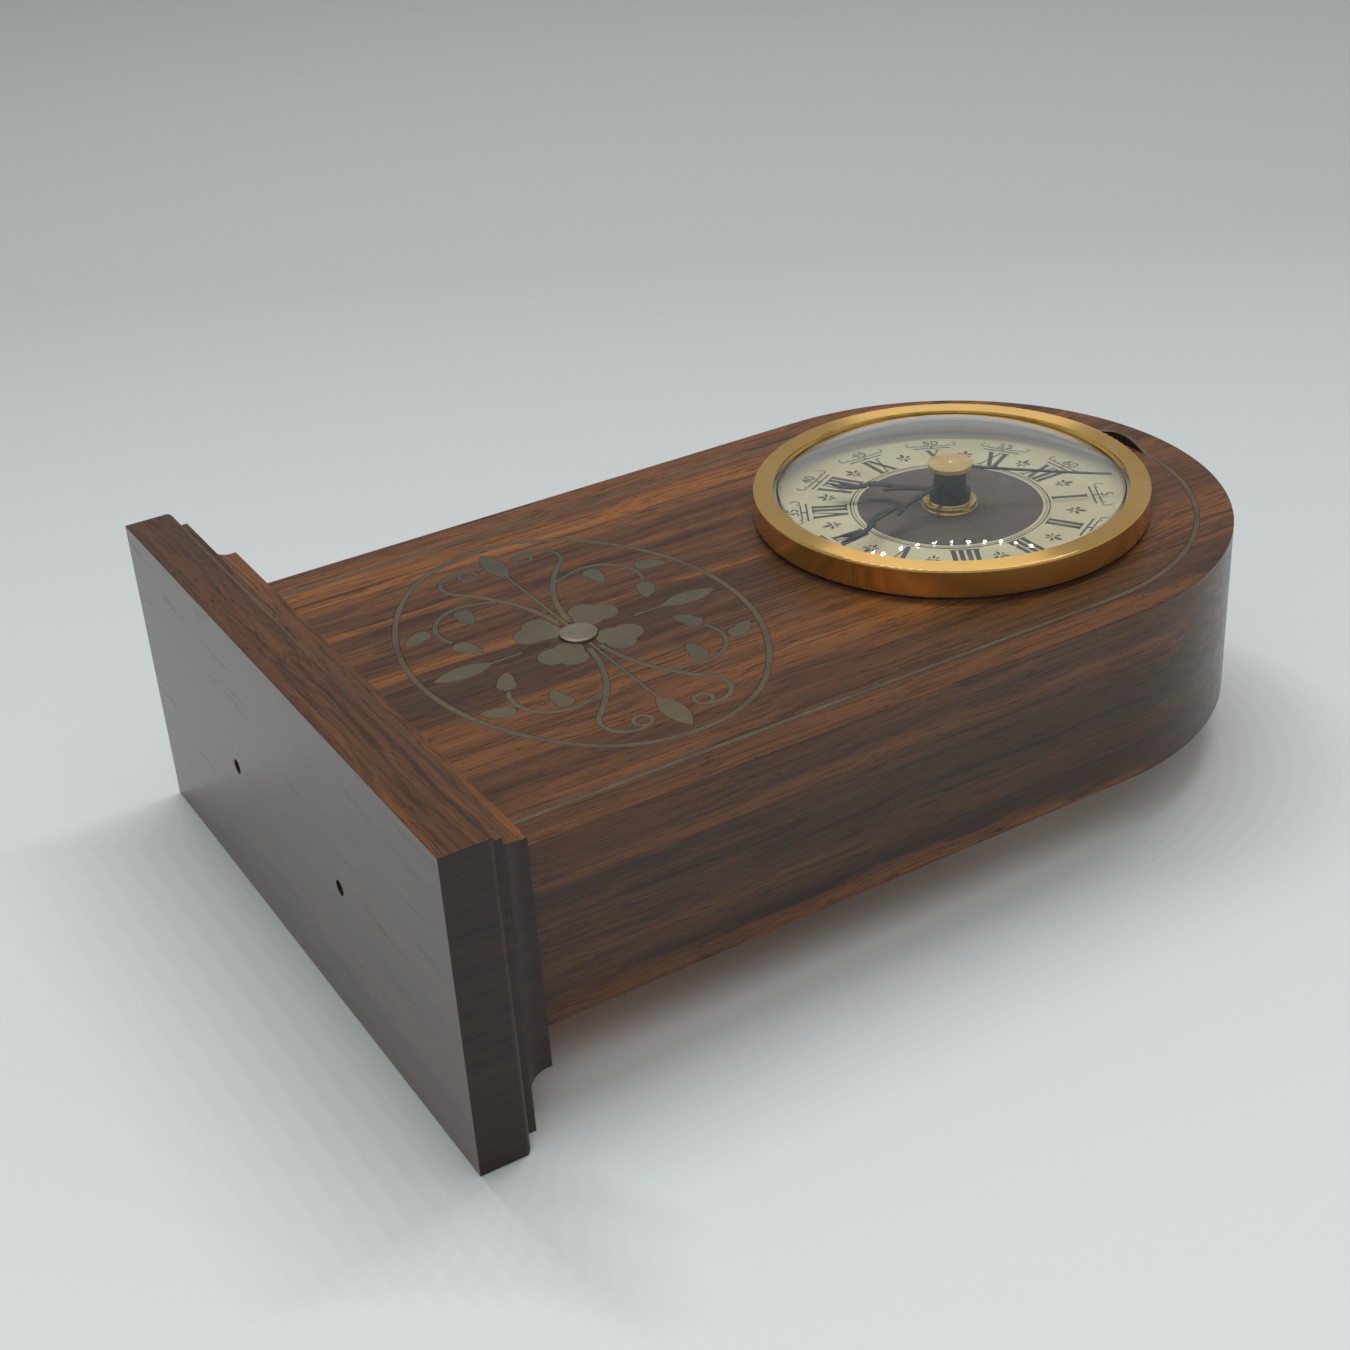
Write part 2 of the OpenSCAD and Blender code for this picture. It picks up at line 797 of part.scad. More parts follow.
module scroll_stems() {
    color("darkkhaki")
        medallion_slab(0, inlay_t)
            quarters()
                scroll_shape(0);
}

module sprig_leaves() {
    color("darkkhaki")
        medallion_slab(0, inlay_t)
            quarters()
                sprig_shape(0);
}

module bezel() {
    color("goldenrod")
        turned() {
            translate([bezel_bore_r, bezel_round - bezel_h])
                square([bezel_wall, bezel_h - bezel_round - bezel_gap]);
            translate([opening_r, -bezel_h])
                square([bezel_ring_w - bezel_round, bezel_ring_t]);
            translate([bezel_r - bezel_round, bezel_round - bezel_h])
                circle(bezel_round, $fn = 48);
        }
}

module lens() {
    color("lightcyan", 0.35) {
        intersection() {
            bar(-bezel_h - lens_rise, 0, dome_r + dome_bite);
            translate([0, front_y + lens_ball_d, axis_z])
                difference() {
                    sphere(lens_ball_r);
                    sphere(lens_inner_r);
                }
        }
        tube(ring_back, lens_foot, lens_edge_r, dome_r - dome_bite);
    }
}

// Ring pressed into the bezel behind the lens
module lens_ring() {
    color("goldenrod")
        tube(lens_foot + 0.1, lens_foot + 0.1 + lens_ring_h, bezel_bore_r - run_gap / 2, lens_foot_r);
}

module dial_pan() {
    color("silver")
        difference() {
            bar(-dial_out - pan_rim_h, dial_seat, pan_r);
            bar(-dial_out - pan_rim_h - eps, dial_seat - pan_t, pan_r - pan_t);
            bar(-dial_out, dial_seat + eps, neck_r + run_gap);
        }
}

module dial() {
    color("beige")
        tube(-dial_out, dial_seat - pan_t, dial_r, neck_r + run_gap);
}

module nut_washer() {
    color("gold")
        tube(washer_front, -dial_out, nut_d / 2 + 0.2, neck_r + run_gap);
}

// Round nut with two slots for a spanner
module fixing_nut() {
    nut_front = washer_front - nut_t;
    slot_w = 1.6;
    color("gold")
        difference() {
            tube(nut_front, washer_front, nut_d / 2, neck_r + run_gap / 2);
            axis_slab(nut_front - eps, nut_front + nut_t / 2)
                square([nut_d + 1, slot_w], center = true);
        }
}

// Neck that carries the movement: flange inside the housing, thread through wood and dial
module threaded_neck() {
    bore_r = hour_pipe_d / 2 + run_gap;
    color("gold") {
        tube(-dial_out - neck_out, cavity_front + neck_flange_t, neck_r, bore_r);
        tube(cavity_front, cavity_front + neck_flange_t, neck_r + 2, bore_r);
    }
}

// Serpentine blade of a hand along +y: slim stem, two crescents that sway to either side, two barbs
module wavy_blade(length, sway, stem_w) {
    first = 0.42 * length;
    second = 0.7 * length;
    overlap = 0.06 * length;
    barb_len = 0.16 * length;
    translate([-stem_w / 2, 0])
        square([stem_w, first + overlap]);
    translate([0, first])
        crescent(second - first + overlap, sway, sway / 6);
    translate([0, second])
        mirror([1, 0])
            crescent(length - second, 0.7 * sway, sway / 9);
    for (y = [first + overlap / 3, second + overlap / 2])
        translate([0, y])
            circle(0.7 * stem_w, $fn = 32);
    translate([-sway / 3, first + overlap])
        rotate(115)
            leaf(barb_len, barb_len / 4, 0);
    translate([sway / 6, 0.88 * length])
        rotate(60)
            leaf(barb_len, barb_len / 4, 0);
}

module hour_hand() {
    color("darkslategray") {
        tube(hour_hub_front, hour_hub_back, hour_hub_d / 2, hour_pipe_d / 2 + run_gap / 2);
        difference() {
            axis_slab(hour_blade - hand_t, hour_blade)
                rotate(-hour_angle)
                    wavy_blade(hour_hand_len, hour_sway, hour_stem_w);
            bar(hour_hub_front, hour_hub_back, hour_hub_d / 2 - 0.2);
        }
    }
}

// The minute hand droops towards its tip to clear the domed lens
module minute_hand() {
    droop = asin(minute_droop / minute_hand_len);
    color("darkslategray") {
        tube(minute_hub_front, minute_hub_back, minute_hub_d / 2, minute_pipe_d / 2 + run_gap / 2);
        difference() {
            translate([0, front_y + minute_blade, axis_z])
                rotate([0, minute_angle, 0])
                    rotate([90 - droop, 0, 0])
                        linear_extrude(height = hand_t)
                            wavy_blade(minute_hand_len, minute_sway, minute_stem_w);
            bar(minute_hub_front - eps, minute_hub_back + eps, minute_hub_d / 2 - 0.2);
        }
    }
}

// Slim sweep hand that droops from its cap towards the dial's edge
module seconds_hand() {
    reach = seconds_hand_len;
    boss_r = cap_d / 2 - 1;
    droop = asin(seconds_droop / (reach - boss_r));
    lift = (boss_r - 0.1) * tan(droop);
    root = seconds_root_w / 2;
    tip = seconds_tip_w / 2;
    color("darkslategray") {
        tube(cap_back, cap_back + hand_t, boss_r, seconds_arbor_d / 2 + run_gap / 2);
        difference() {
            translate([0, front_y + cap_back + hand_t - lift, axis_z])
                rotate([0, second_angle, 0])
                    rotate([90 - droop, 0, 0])
                        linear_extrude(height = hand_t)
                            polygon([[-root, 0], [root, 0], [tip, reach], [-tip, reach]]);
            bar(cap_front, cap_back + 1, boss_r - 0.2);
            bar(cap_front, cap_back, cap_d / 2 + 4);
        }
    }
}

// Round cap with a dimple in its face, pushed on the seconds arbor
module seconds_cap() {
    dimple_r = 1.2;
    color("khaki")
        difference() {
            bar(cap_front, cap_back, cap_d / 2);
            bar(cap_back - cap_t / 2, cap_back + eps, seconds_arbor_d / 2 + run_gap / 2);
            translate([0, front_y + cap_front - 0.85 * dimple_r, axis_z])
                sphere(dimple_r);
        }
}

module hour_wheel() {
    pipe_r = hour_pipe_d / 2;
    bore_r = minute_pipe_d / 2 + run_gap;
    turn = mesh_turn(motion_dir, motion_leaves, hour_teeth, motion_dir + 180);
    color("peru")
        difference() {
            union() {
                bar(hour_hub_front, hour_d + wheel_t, pipe_r);
                gear(hour_teeth, hour_module, hour_d, hour_d + wheel_t, [0, 0], turn);
            }
            bar(hour_hub_front - eps, hour_d + wheel_t + eps, bore_r);
        }
}

module cannon_pinion() {
    bore_r = seconds_arbor_d / 2 + run_gap;
    color("peru")
        difference() {
            union() {
                bar(minute_hub_front, centre_d + wheel_t + pinion_over, minute_pipe_d / 2);
                gear(cannon_teeth, setting_module, motion_d - pinion_over, motion_d + wheel_t + pinion_over,
                    [0, 0], motion_dir);
            }
            bar(minute_hub_front - eps, centre_d + layer, bore_r);
        }
}

// Arbor with a pivot at each end, from the housing's front wall to the train plate
module arbor(at) {
    bar(cavity_front + 0.1, plate_d - 0.1, arbor_d / 2, at);
    bar(cavity_front - shell_t / 2, plate_back, pivot_d / 2, at);
}

motion_turn = mesh_turn(motion_dir, cannon_teeth, motion_teeth, motion_dir);
module motion_wheel() {
    color("peru") {
        gear(motion_teeth, setting_module, motion_d, motion_d + wheel_t, motion_at, motion_turn);
        gear(motion_leaves, hour_module, hour_d - pinion_over, motion_d + eps, motion_at, motion_dir);
        arbor(motion_at);
    }
}

// Setting pinion on a shaft that leaves the housing at the back
module setting_shaft() {
    turn = mesh_turn(motion_turn, motion_teeth, cannon_teeth, 0);
    color("silver") {
        gear(cannon_teeth, setting_module, motion_d - pinion_over, motion_d + wheel_t + pinion_over,
            setting_at, turn);
        bar(cavity_front - shell_t / 2, motion_d, pivot_d / 2, setting_at);
        bar(motion_d, cover_back + knob_h, setting_shaft_d / 2, setting_at);
    }
}

// Grooved knob pushed on the setting shaft
module setting_knob() {
    grooves = 24;
    knob_front = cover_back + layer_gap;
    bore_back = cover_back + knob_h + run_gap;
    color("dimgray")
        difference() {
            bar(knob_front, knob_front + knob_h, knob_d / 2, setting_at);
            bar(knob_front - eps, bore_back, setting_shaft_d / 2 + run_gap / 2, setting_at);
            for (i = [0 : grooves - 1])
                bar(knob_front - eps, knob_front + knob_h + eps, 0.5,
                    setting_at + polar(knob_d / 2 + 0.1, i * 360 / grooves));
        }
}

// Wheel held on the minute pipe by friction, so that the hands can be set
module centre_wheel() {
    turn = mesh_turn(third_dir, third_leaves, centre_teeth, third_dir + 180);
    color("peru")
        difference() {
            gear(centre_teeth, centre_module, centre_d, centre_d + wheel_t, [0, 0], turn);
            bar(centre_d - eps, centre_d + wheel_t + eps, minute_pipe_d / 2 + run_gap / 2);
        }
}

module third_wheel() {
    turn = mesh_turn(third_dir, seconds_leaves, third_teeth, third_dir);
    color("peru") {
        gear(third_teeth, third_module, third_d, third_d + wheel_t, third_at, turn);
        gear(third_leaves, centre_module, centre_d - pinion_over, third_d + eps, third_at, third_dir);
        arbor(third_at);
    }
}

// Seconds arbor through the minute pipe, with its pinion and its wheel
module seconds_wheel() {
    turn = mesh_turn(index_dir, index_leaves, seconds_teeth, index_dir + 180);
    color("peru") {
        gear(seconds_leaves, third_module, third_d - pinion_over, seconds_d + eps, [0, 0], third_dir);
        gear(seconds_teeth, index_module, seconds_d, seconds_d + wheel_t, [0, 0], turn);
        bar(cap_back - cap_t / 2 + run_gap, plate_d - 0.1, seconds_arbor_d / 2);
        bar(plate_d - 1, plate_back, pivot_d / 2);
    }
}

// Index wheel that the balance's magnetic finger draws on tooth by tooth
module index_wheel() {
    color("peru") {
        gear(index_leaves, index_module, seconds_d - pinion_over, index_d + eps, index_at, index_dir);
        axis_slab(index_d, index_d + wheel_t)
            translate(index_at)
                polygon([for (i = [0 : index_teeth - 1], side = [[3.6, 0.32], [index_r, 0.5], [3.6, 0.68]])
                    polar(side[0], (i + side[1]) * 360 / index_teeth)]);
        arbor(index_at);
    }
}

module train_plate() {
    color("gold")
        difference() {
            axis_slab(plate_d, plate_back)
                round_box([-movement_w / 2 + shell_t + 0.3, -train_drop + 0.3],
                    [movement_w / 2 - shell_t - 0.3, movement_top - shell_t - 0.3], 2);
            for (at = [motion_at, third_at, index_at, [0, 0], balance_at])
                bar(plate_d - eps, plate_back + eps, pivot_d / 2 + run_gap, at);
            bar(plate_d - eps, plate_back + eps, setting_shaft_d / 2 + 4 * run_gap, setting_at);
            for (at = post_places)
                bar(plate_d - eps, plate_back + eps, screw_d / 2 + run_gap, at);
        }
}

// Two discs that swing on either side of the drive coil
module balance_wheel() {
    color("silver")
        difference() {
            for (d = [disc_d, second_disc_d])
                bar(d, d + wheel_t, balance_d / 2, balance_at);
            bar(disc_d - eps, second_disc_d + layer, arbor_d / 2 + run_gap / 2, balance_at);
            for (d = [disc_d, second_disc_d], at = magnet_places)
                bar(d - eps, d + wheel_t + eps, magnet_d / 2 + run_gap / 2, at);
        }
}

module balance_magnets() {
    color("dimgray")
        for (d = [disc_d, second_disc_d], at = magnet_places)
            bar(d, d + wheel_t, magnet_d / 2, at);
}

// Staff with the magnetic finger that passes close to the index wheel's teeth
module balance_staff() {
    color("silver") {
        bar(plate_back + 0.1, bridge_d - 0.1, arbor_d / 2, balance_at);
        bar(cavity_front - shell_t / 2, bridge_d + wheel_t, pivot_d / 2, balance_at);
        bar(index_d - 0.1, index_d + wheel_t + 0.1, 1.4, balance_at);
        bar(spring_d, spring_d + spring_h, collet_r, balance_at);
        axis_slab(index_d, index_d + wheel_t)
            translate(balance_at - [finger_reach, 0])
                translate([0, -0.2])
                    square([finger_reach, 0.4]);
    }
}

// Flat spiral of spring strip from the staff to its stud
module hairspring() {
    inner_r = collet_r + hairspring_t;
    steps = 16 * hairspring_turns;
    pitch = (hairspring_r - inner_r) / hairspring_turns;
    spiral = [for (i = [0 : steps]) [inner_r + pitch * i / 16, 180 + i * 360 / 16]];
    color("steelblue")
        axis_slab(spring_d, spring_d + spring_h)
            translate(balance_at)
                polygon(concat(
                    [for (p = spiral) polar(p[0] + hairspring_t / 2, p[1])],
                    [for (i = [steps : -1 : 0]) polar(spiral[i][0] - hairspring_t / 2, spiral[i][1])]));
}

// Bridge over the balance, on its post, with the hairspring's stud
module balance_bridge() {
    hub_r = bridge_w / 2;
    color("gold")
        difference() {
            union() {
                bar(bridge_d, bridge_d + wheel_t, hub_r, balance_at);
                bar(plate_back, bridge_d + wheel_t, hub_r, bridge_post_at);
                axis_slab(bridge_d, bridge_d + wheel_t)
                    translate(balance_at)
                        rotate(atan2(bridge_post_at[1] - balance_at[1], bridge_post_at[0] - balance_at[0]))
                            translate([0, -0.8 * hub_r])
                                square([norm(bridge_post_at - balance_at), 1.6 * hub_r]);
                bar(spring_d - 0.1, bridge_d + eps, 0.5, stud_at + [-0.5 - hairspring_t, 0]);
                axis_slab(bridge_d, bridge_d + wheel_t)
                    translate(balance_at - [hairspring_r + 1.2, 0.9])
                        square([hairspring_r + 1.2, 1.8]);
                bar(bridge_d, regulator_d + wheel_t, 1.6, balance_at);
            }
            bar(bridge_d - eps, regulator_d + wheel_t + eps, pivot_d / 2 + run_gap, balance_at);
        }
}

// Rate lever that turns on the bridge and shows its tip through the cover
regulator_r = 13;
regulator_dir = 60;
module regulator() {
    color("gold") {
        tube(regulator_d, regulator_d + wheel_t, 3, 1.6 + run_gap, balance_at);
        difference() {
            axis_slab(regulator_d, regulator_d + wheel_t)
                translate(balance_at)
                    rotate(regulator_dir)
                        translate([0, -0.8])
                            square([regulator_r, 1.6]);
            bar(regulator_d - eps, regulator_d + wheel_t + eps, 2.4, balance_at);
        }
        bar(regulator_d, cover_back + 1, 0.8, balance_at + polar(regulator_r, regulator_dir));
    }
}

coil_d0 = disc_d + wheel_t + (balance_room - coil_t) / 2;
module drive_coil() {
    color("chocolate")
        tube(coil_d0, coil_d0 + coil_t, coil_d / 2, coil_d / 5 + run_gap, coil_at);
}

// Arm that holds the coil between the discs, on a post of the train plate
module coil_carrier() {
    arm_t = 0.4;
    arm_dir = atan2(coil_post_at[1] - coil_at[1], coil_post_at[0] - coil_at[0]);
    color("ivory") {
        bar(coil_d0, coil_d0 + coil_t, coil_d / 5, coil_at);
        bar(coil_d0 - arm_t, coil_d0, coil_d / 2, coil_at);
        bar(plate_back, coil_d0, coil_post_d / 2, coil_post_at);
        axis_slab(coil_d0 - arm_t, coil_d0)
            translate(coil_at)
                rotate(arm_dir)
                    translate([0, -0.4 * coil_post_d])
                        square([coil_arm_len, 0.8 * coil_post_d]);
    }
}

// Board in front of the battery bay, with transistor, capacitor and resistors
module circuit_board() {
    board_d = cavity_front + 0.8;
    board_t = 1;
    board_half = bay_half - 2;
    low = bay_mid - bay_h / 2 + 1;
    color("darkolivegreen") {
        axis_slab(board_d, board_d + board_t)
            translate([-board_half, low])
                square([2 * board_half, bay_h - 4]);
        for (x = [-board_half + 3, board_half - 3])
            bar(cavity_front, board_d + eps, 1.5, [x, bay_mid]);
        bar(board_d + board_t - eps, bay_front - shell_t - 1, 2.2, [-8, bay_mid + 4]);
        for (z = [-6, -2, 2])
            axis_slab(board_d + board_t - eps, board_d + board_t + 1.5)
                translate([2, bay_mid + z])
                    square([6, 1.6]);
    }
}

// Moulded housing: train space above, battery bay below, open at the back
module movement_housing() {
    half = movement_w / 2;
    color("whitesmoke")
        difference() {
            union() {
                axis_slab(shell_front, cover_d)
                    round_box([-half, -movement_drop], [half, movement_top], shell_corner_r);
                axis_slab(shell_front, housing_back)
                    round_box([-half, -movement_drop], [half, -train_drop], shell_corner_r);
            }
            difference() {
                axis_slab(cavity_front, cover_d + eps)
                    round_box([shell_t - half, -train_drop], [half - shell_t, movement_top - shell_t], 1.4);
                for (at = post_places)
                    bar(cavity_front - eps, plate_d, post_d / 2, at);
            }
            axis_slab(cavity_front, bay_front - shell_t)
                translate([-bay_half, bay_mid - bay_h / 2])
                    square([2 * bay_half, bay_h + shell_t + eps]);
            axis_slab(bay_front, housing_back + eps)
                translate([-bay_half, bay_mid - bay_h / 2])
                    square([2 * bay_half, bay_h]);
            for (at = post_places)
                bar(screw_tip_d - 0.5, plate_d + eps, screw_d / 2 + run_gap / 2, at);
            bar(shell_front - eps, cavity_front + eps, neck_r + run_gap);
            for (at = [motion_at, third_at, index_at, balance_at, setting_at])
                bar(cavity_front - shell_t / 2 - 0.1, cavity_front + eps, pivot_d / 2 + run_gap, at);
        }
}

// Cover behind the train, with posts that clamp the train plate
module movement_cover() {
    half = movement_w / 2;
    slot_reach = 26;
    color("whitesmoke")
        difference() {
            union() {
                axis_slab(cover_d, cover_back)
                    round_box([-half, -train_drop + 0.2], [half, cover_top], shell_corner_r);
                for (at = post_places)
                    bar(plate_back, cover_d + eps, post_d / 2, at);
            }
            for (at = post_places) {
                bar(plate_back - eps, cover_back + eps, screw_d / 2 + run_gap, at);
                bar(cover_back - screw_head_t, cover_back + eps, screw_head_d / 2 + run_gap, at);
            }
            bar(cover_d - eps, cover_back + eps, setting_shaft_d / 2 + run_gap, setting_at);
            axis_slab(cover_d - eps, cover_back + eps)
                translate(balance_at) {
                    arc_line(regulator_r, regulator_dir - slot_reach, regulator_dir + slot_reach, 2.2);
                    for (side = [-1, 1])
                        translate(polar(regulator_r, regulator_dir + side * slot_reach))
                            circle(1.1, $fn = 32);
                }
        }
}

module cover_screws() {
    slot_w = 0.6;
    color("silver")
        for (at = post_places)
            difference() {
                union() {
                    bar(cover_back - screw_head_t, cover_back, screw_head_d / 2, at);
                    bar(screw_tip_d, cover_back - screw_head_t + eps, screw_d / 2, at);
                }
                axis_slab(cover_back - screw_head_t / 2, cover_back + eps)
                    translate(at)
                        square([screw_head_d + 1, slot_w], center = true);
            }
}

// Round bar along x inside the battery bay
module cell_bar(x0, x1, r) {
    translate([x0, front_y + cell_axis_d, axis_z + bay_mid])
        rotate([0, 90, 0])
            cylinder(h = x1 - x0, r = r);
}

nub_x = bay_half - 2 * contact_t - cell_gap;
can_x = nub_x - cell_nub_h;
module battery_cell() {
    color("steelblue") {
        cell_bar(can_x - cell_len, can_x, cell_d / 2);
        cell_bar(can_x - eps, nub_x, cell_nub_d / 2);
    }
}

// Straight strip against the bay's end wall
module contact_plus() {
    color("silver")
        translate([bay_half - contact_t, front_y + bay_front + 2, axis_z + bay_mid - contact_w / 2])
            cube([contact_t, housing_back - bay_front - 4, contact_w]);
}

// Strip with a bowed tongue that presses on the cell's flat end
module contact_minus() {
    gap = can_x - cell_len + bay_half;
    bow_r = (gap - contact_t - 0.1);
    color("silver")
        translate([-bay_half, front_y, axis_z + bay_mid - contact_w / 2]) {
            translate([0, bay_front + 2, 0])
                cube([contact_t, housing_back - bay_front - 4, contact_w]);
            translate([contact_t - eps, cell_axis_d, 0])
                intersection() {
                    difference() {
                        cylinder(h = contact_w, r = bow_r);
                        translate([0, 0, -eps])
                            cylinder(h = contact_w + 1, r = bow_r - contact_t);
                    }
                    translate([0, -bow_r, 0])
                        cube([bow_r, 2 * bow_r, contact_w]);
                }
        }
}

case_body();
plinth();
plinth_nails();
border_line();
medallion_ring();
flower_petals();
flower_head();
pointed_leaves();
scroll_stems();
sprig_leaves();
bezel();
lens();
lens_ring();
dial_pan();
dial();
nut_washer();
fixing_nut();
threaded_neck();
hour_hand();
minute_hand();
seconds_hand();
seconds_cap();
hour_wheel();
cannon_pinion();
motion_wheel();
setting_shaft();
setting_knob();
centre_wheel();
third_wheel();
seconds_wheel();
index_wheel();
train_plate();
balance_wheel();
balance_magnets();
balance_staff();
hairspring();
balance_bridge();
regulator();
drive_coil();
coil_carrier();
circuit_board();
movement_housing();
movement_cover();
cover_screws();
battery_cell();
contact_plus();
contact_minus();
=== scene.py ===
# %% [markdown]
# # A small arched table clock, laid on its back
#
# This lesson dresses a finished CAD clock. The CAD model gives every piece its place and its size.
# Blender adds what solids can't carry: streaked wood, tarnished inlay, a printed dial and light.

import json
import math

import bpy
from mathutils import Matrix, Vector

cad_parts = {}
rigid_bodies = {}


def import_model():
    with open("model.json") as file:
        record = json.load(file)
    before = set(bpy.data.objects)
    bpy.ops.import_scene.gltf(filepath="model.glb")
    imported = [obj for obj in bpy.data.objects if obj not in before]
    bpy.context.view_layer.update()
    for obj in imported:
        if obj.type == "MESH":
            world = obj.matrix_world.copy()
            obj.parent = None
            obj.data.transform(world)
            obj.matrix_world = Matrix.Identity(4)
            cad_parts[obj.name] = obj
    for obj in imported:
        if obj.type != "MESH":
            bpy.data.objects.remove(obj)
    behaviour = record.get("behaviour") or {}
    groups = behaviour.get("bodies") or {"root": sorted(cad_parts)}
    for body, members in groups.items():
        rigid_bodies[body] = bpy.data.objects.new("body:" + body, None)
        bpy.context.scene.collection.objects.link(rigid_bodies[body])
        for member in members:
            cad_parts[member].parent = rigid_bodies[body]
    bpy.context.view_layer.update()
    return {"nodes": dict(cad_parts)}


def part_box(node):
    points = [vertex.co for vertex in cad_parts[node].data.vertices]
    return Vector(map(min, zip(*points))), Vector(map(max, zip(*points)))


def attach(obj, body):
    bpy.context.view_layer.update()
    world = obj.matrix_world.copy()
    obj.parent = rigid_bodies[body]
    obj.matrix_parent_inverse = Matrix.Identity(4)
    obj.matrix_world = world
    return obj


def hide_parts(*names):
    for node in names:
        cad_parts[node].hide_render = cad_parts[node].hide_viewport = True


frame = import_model()


# %% [markdown]
# ## Where things are
#
# A lesson is easier to change when it measures instead of repeating numbers. A few places are read
# from the boxes of CAD pieces: the hand axis from the bezel, the front of the wood from the case.

# %% Read places from the CAD
MM = 0.001
case_low, case_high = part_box("case_body")
bezel_low, bezel_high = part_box("bezel")
dial_low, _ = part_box("dial")
plinth_low, plinth_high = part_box("plinth")
line_low, line_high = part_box("border_line")
front_y = case_low.y
axis_z = (bezel_low.z + bezel_high.z) / 2
dial_face_y = dial_low.y
print("front of the wood at y", round(front_y, 5), "hand axis at z", round(axis_z, 5))

# %% [markdown]
# ## The camera
#
# The clock lies on its back, and the picture is taken from beyond its foot, a little to the right.
# In the clock's own frame that is a camera below the plinth. Its place and its three directions
# were solved from the edges of the case, so they are set as a matrix and not by a tracking rule.

# %% Place the camera
SENSOR_WIDTH, LENS_LENGTH = 36, 57
NEAREST_SEEN = 0.01
camera_data = bpy.data.cameras.new("picture_camera")
camera_data.sensor_width, camera_data.lens = SENSOR_WIDTH, LENS_LENGTH
camera_data.clip_start = NEAREST_SEEN
camera = bpy.data.objects.new("picture_camera", camera_data)
bpy.context.scene.collection.objects.link(camera)
looks_along = Vector((-0.7547, 0.4985, 0.4265)).normalized()
picture_down = Vector((0.4004, 0.8650, -0.3025)).normalized()
picture_right = picture_down.cross(looks_along).normalized()
camera_place = Vector((0.27864, front_y - 0.16992, -0.08495))
camera_turn = Matrix((picture_right, -picture_down, -looks_along)).transposed().to_4x4()
camera.matrix_world = Matrix.Translation(camera_place) @ camera_turn
bpy.context.scene.camera = camera
print("camera at", [round(v, 4) for v in camera_place])

# %% [markdown]
# ## Helpers for nodes
#
# Every finish is a node tree round one Principled shader. Nodes could be made and linked one by
# one, in many lines. `add` makes a node and fills its sockets in one call instead: a socket is
# linked, and a plain value is set.

# %% Helpers for nodes
def start_finish(name):
    material = bpy.data.materials.new(name)
    material.use_nodes = True
    return material, material.node_tree, material.node_tree.nodes["Principled BSDF"]


def add(tree, kind, inputs=None, **settings):
    made = tree.nodes.new(kind)
    for key, value in settings.items():
        setattr(made, key, value)
    for key, value in (inputs or {}).items():
        if isinstance(value, bpy.types.NodeSocket):
            tree.links.new(value, made.inputs[key])
        else:
            made.inputs[key].default_value = value
    return made


print("helpers for nodes:", [made.__name__ for made in (start_finish, add)])

# %% [markdown]
# ## Helpers for mixing
#
# Most of a finish is mixing: noise picks a tone, and a mask lays one tone over another. Each helper
# stands for one node that is used often. They make a colour ramp, a mix of two colours, a value
# between two others, a change of range and a calculation.

# %% Helpers for mixing
def ramp(tree, value, stops):
    made = add(tree, "ShaderNodeValToRGB", {"Fac": value})
    bar = made.color_ramp
    while len(bar.elements) < len(stops):
        bar.elements.new(1)
    for element, (place, colour) in zip(bar.elements, stops):
        element.position = place
        element.color = (*colour, 1)
    return made.outputs["Color"]


def mix(tree, amount, under, over):
    inputs = {0: amount, 6: under, 7: over}
    return add(tree, "ShaderNodeMix", inputs, data_type="RGBA").outputs[2]


def between(tree, amount, low, high):
    return add(tree, "ShaderNodeMix", {0: amount, 2: low, 3: high}).outputs[0]


def spread(tree, value, low, high, lowest=0.0, highest=1.0):
    inputs = {"Value": value, "From Min": low, "From Max": high}
    inputs |= {"To Min": lowest, "To Max": highest}
    return add(tree, "ShaderNodeMapRange", inputs).outputs["Result"]


def work_out(tree, operation, *values):
    return add(tree, "ShaderNodeMath", dict(enumerate(values)), operation=operation).outputs[0]


print("helpers for mixing:", [made.__name__ for made in (ramp, mix, between, spread, work_out)])

# %% [markdown]
# ## Helpers for textures
#
# A texture needs a place to be worked out at. `place_on` gives the place on the piece itself, so a
# pattern stays put when the piece moves. `facing` tells which way a face looks, `noise` gives soft
# random values, and `soft_edge` rounds an edge for the light alone.

# %% Helpers for textures
def place_on(tree, scale=(1, 1, 1), turn=(0, 0, 0), shift=(0, 0, 0)):
    here = add(tree, "ShaderNodeTexCoord").outputs["Object"]
    inputs = {"Vector": here, "Location": shift, "Rotation": turn, "Scale": scale}
    return add(tree, "ShaderNodeMapping", inputs).outputs["Vector"]


def facing(tree):
    normal = add(tree, "ShaderNodeTexCoord").outputs["Normal"]
    return add(tree, "ShaderNodeSeparateXYZ", {0: normal}).outputs


def noise(tree, place, scale, detail=4, roughness=0.55, distortion=0.0):
    inputs = {"Vector": place, "Scale": scale, "Detail": detail}
    inputs |= {"Roughness": roughness, "Distortion": distortion}
    return add(tree, "ShaderNodeTexNoise", inputs).outputs["Fac"]


def soft_edge(tree, radius):
    return add(tree, "ShaderNodeBevel", {"Radius": radius}, samples=6).outputs["Normal"]


print("helpers for textures:", [made.__name__ for made in (place_on, facing, noise, soft_edge)])

# %% [markdown]
# ## The grain of rosewood
#
# The case is orange-brown wood with nearly black streaks along the grain. A picture texture would
# give one board for ever, so the grain is built from noise that is stretched along it. A slow noise
# pushes the streaks aside by less than a millimetre, because real grain wanders. Each layer below
# is one noise: its streaks per metre, its detail, where it starts to show and how strongly.

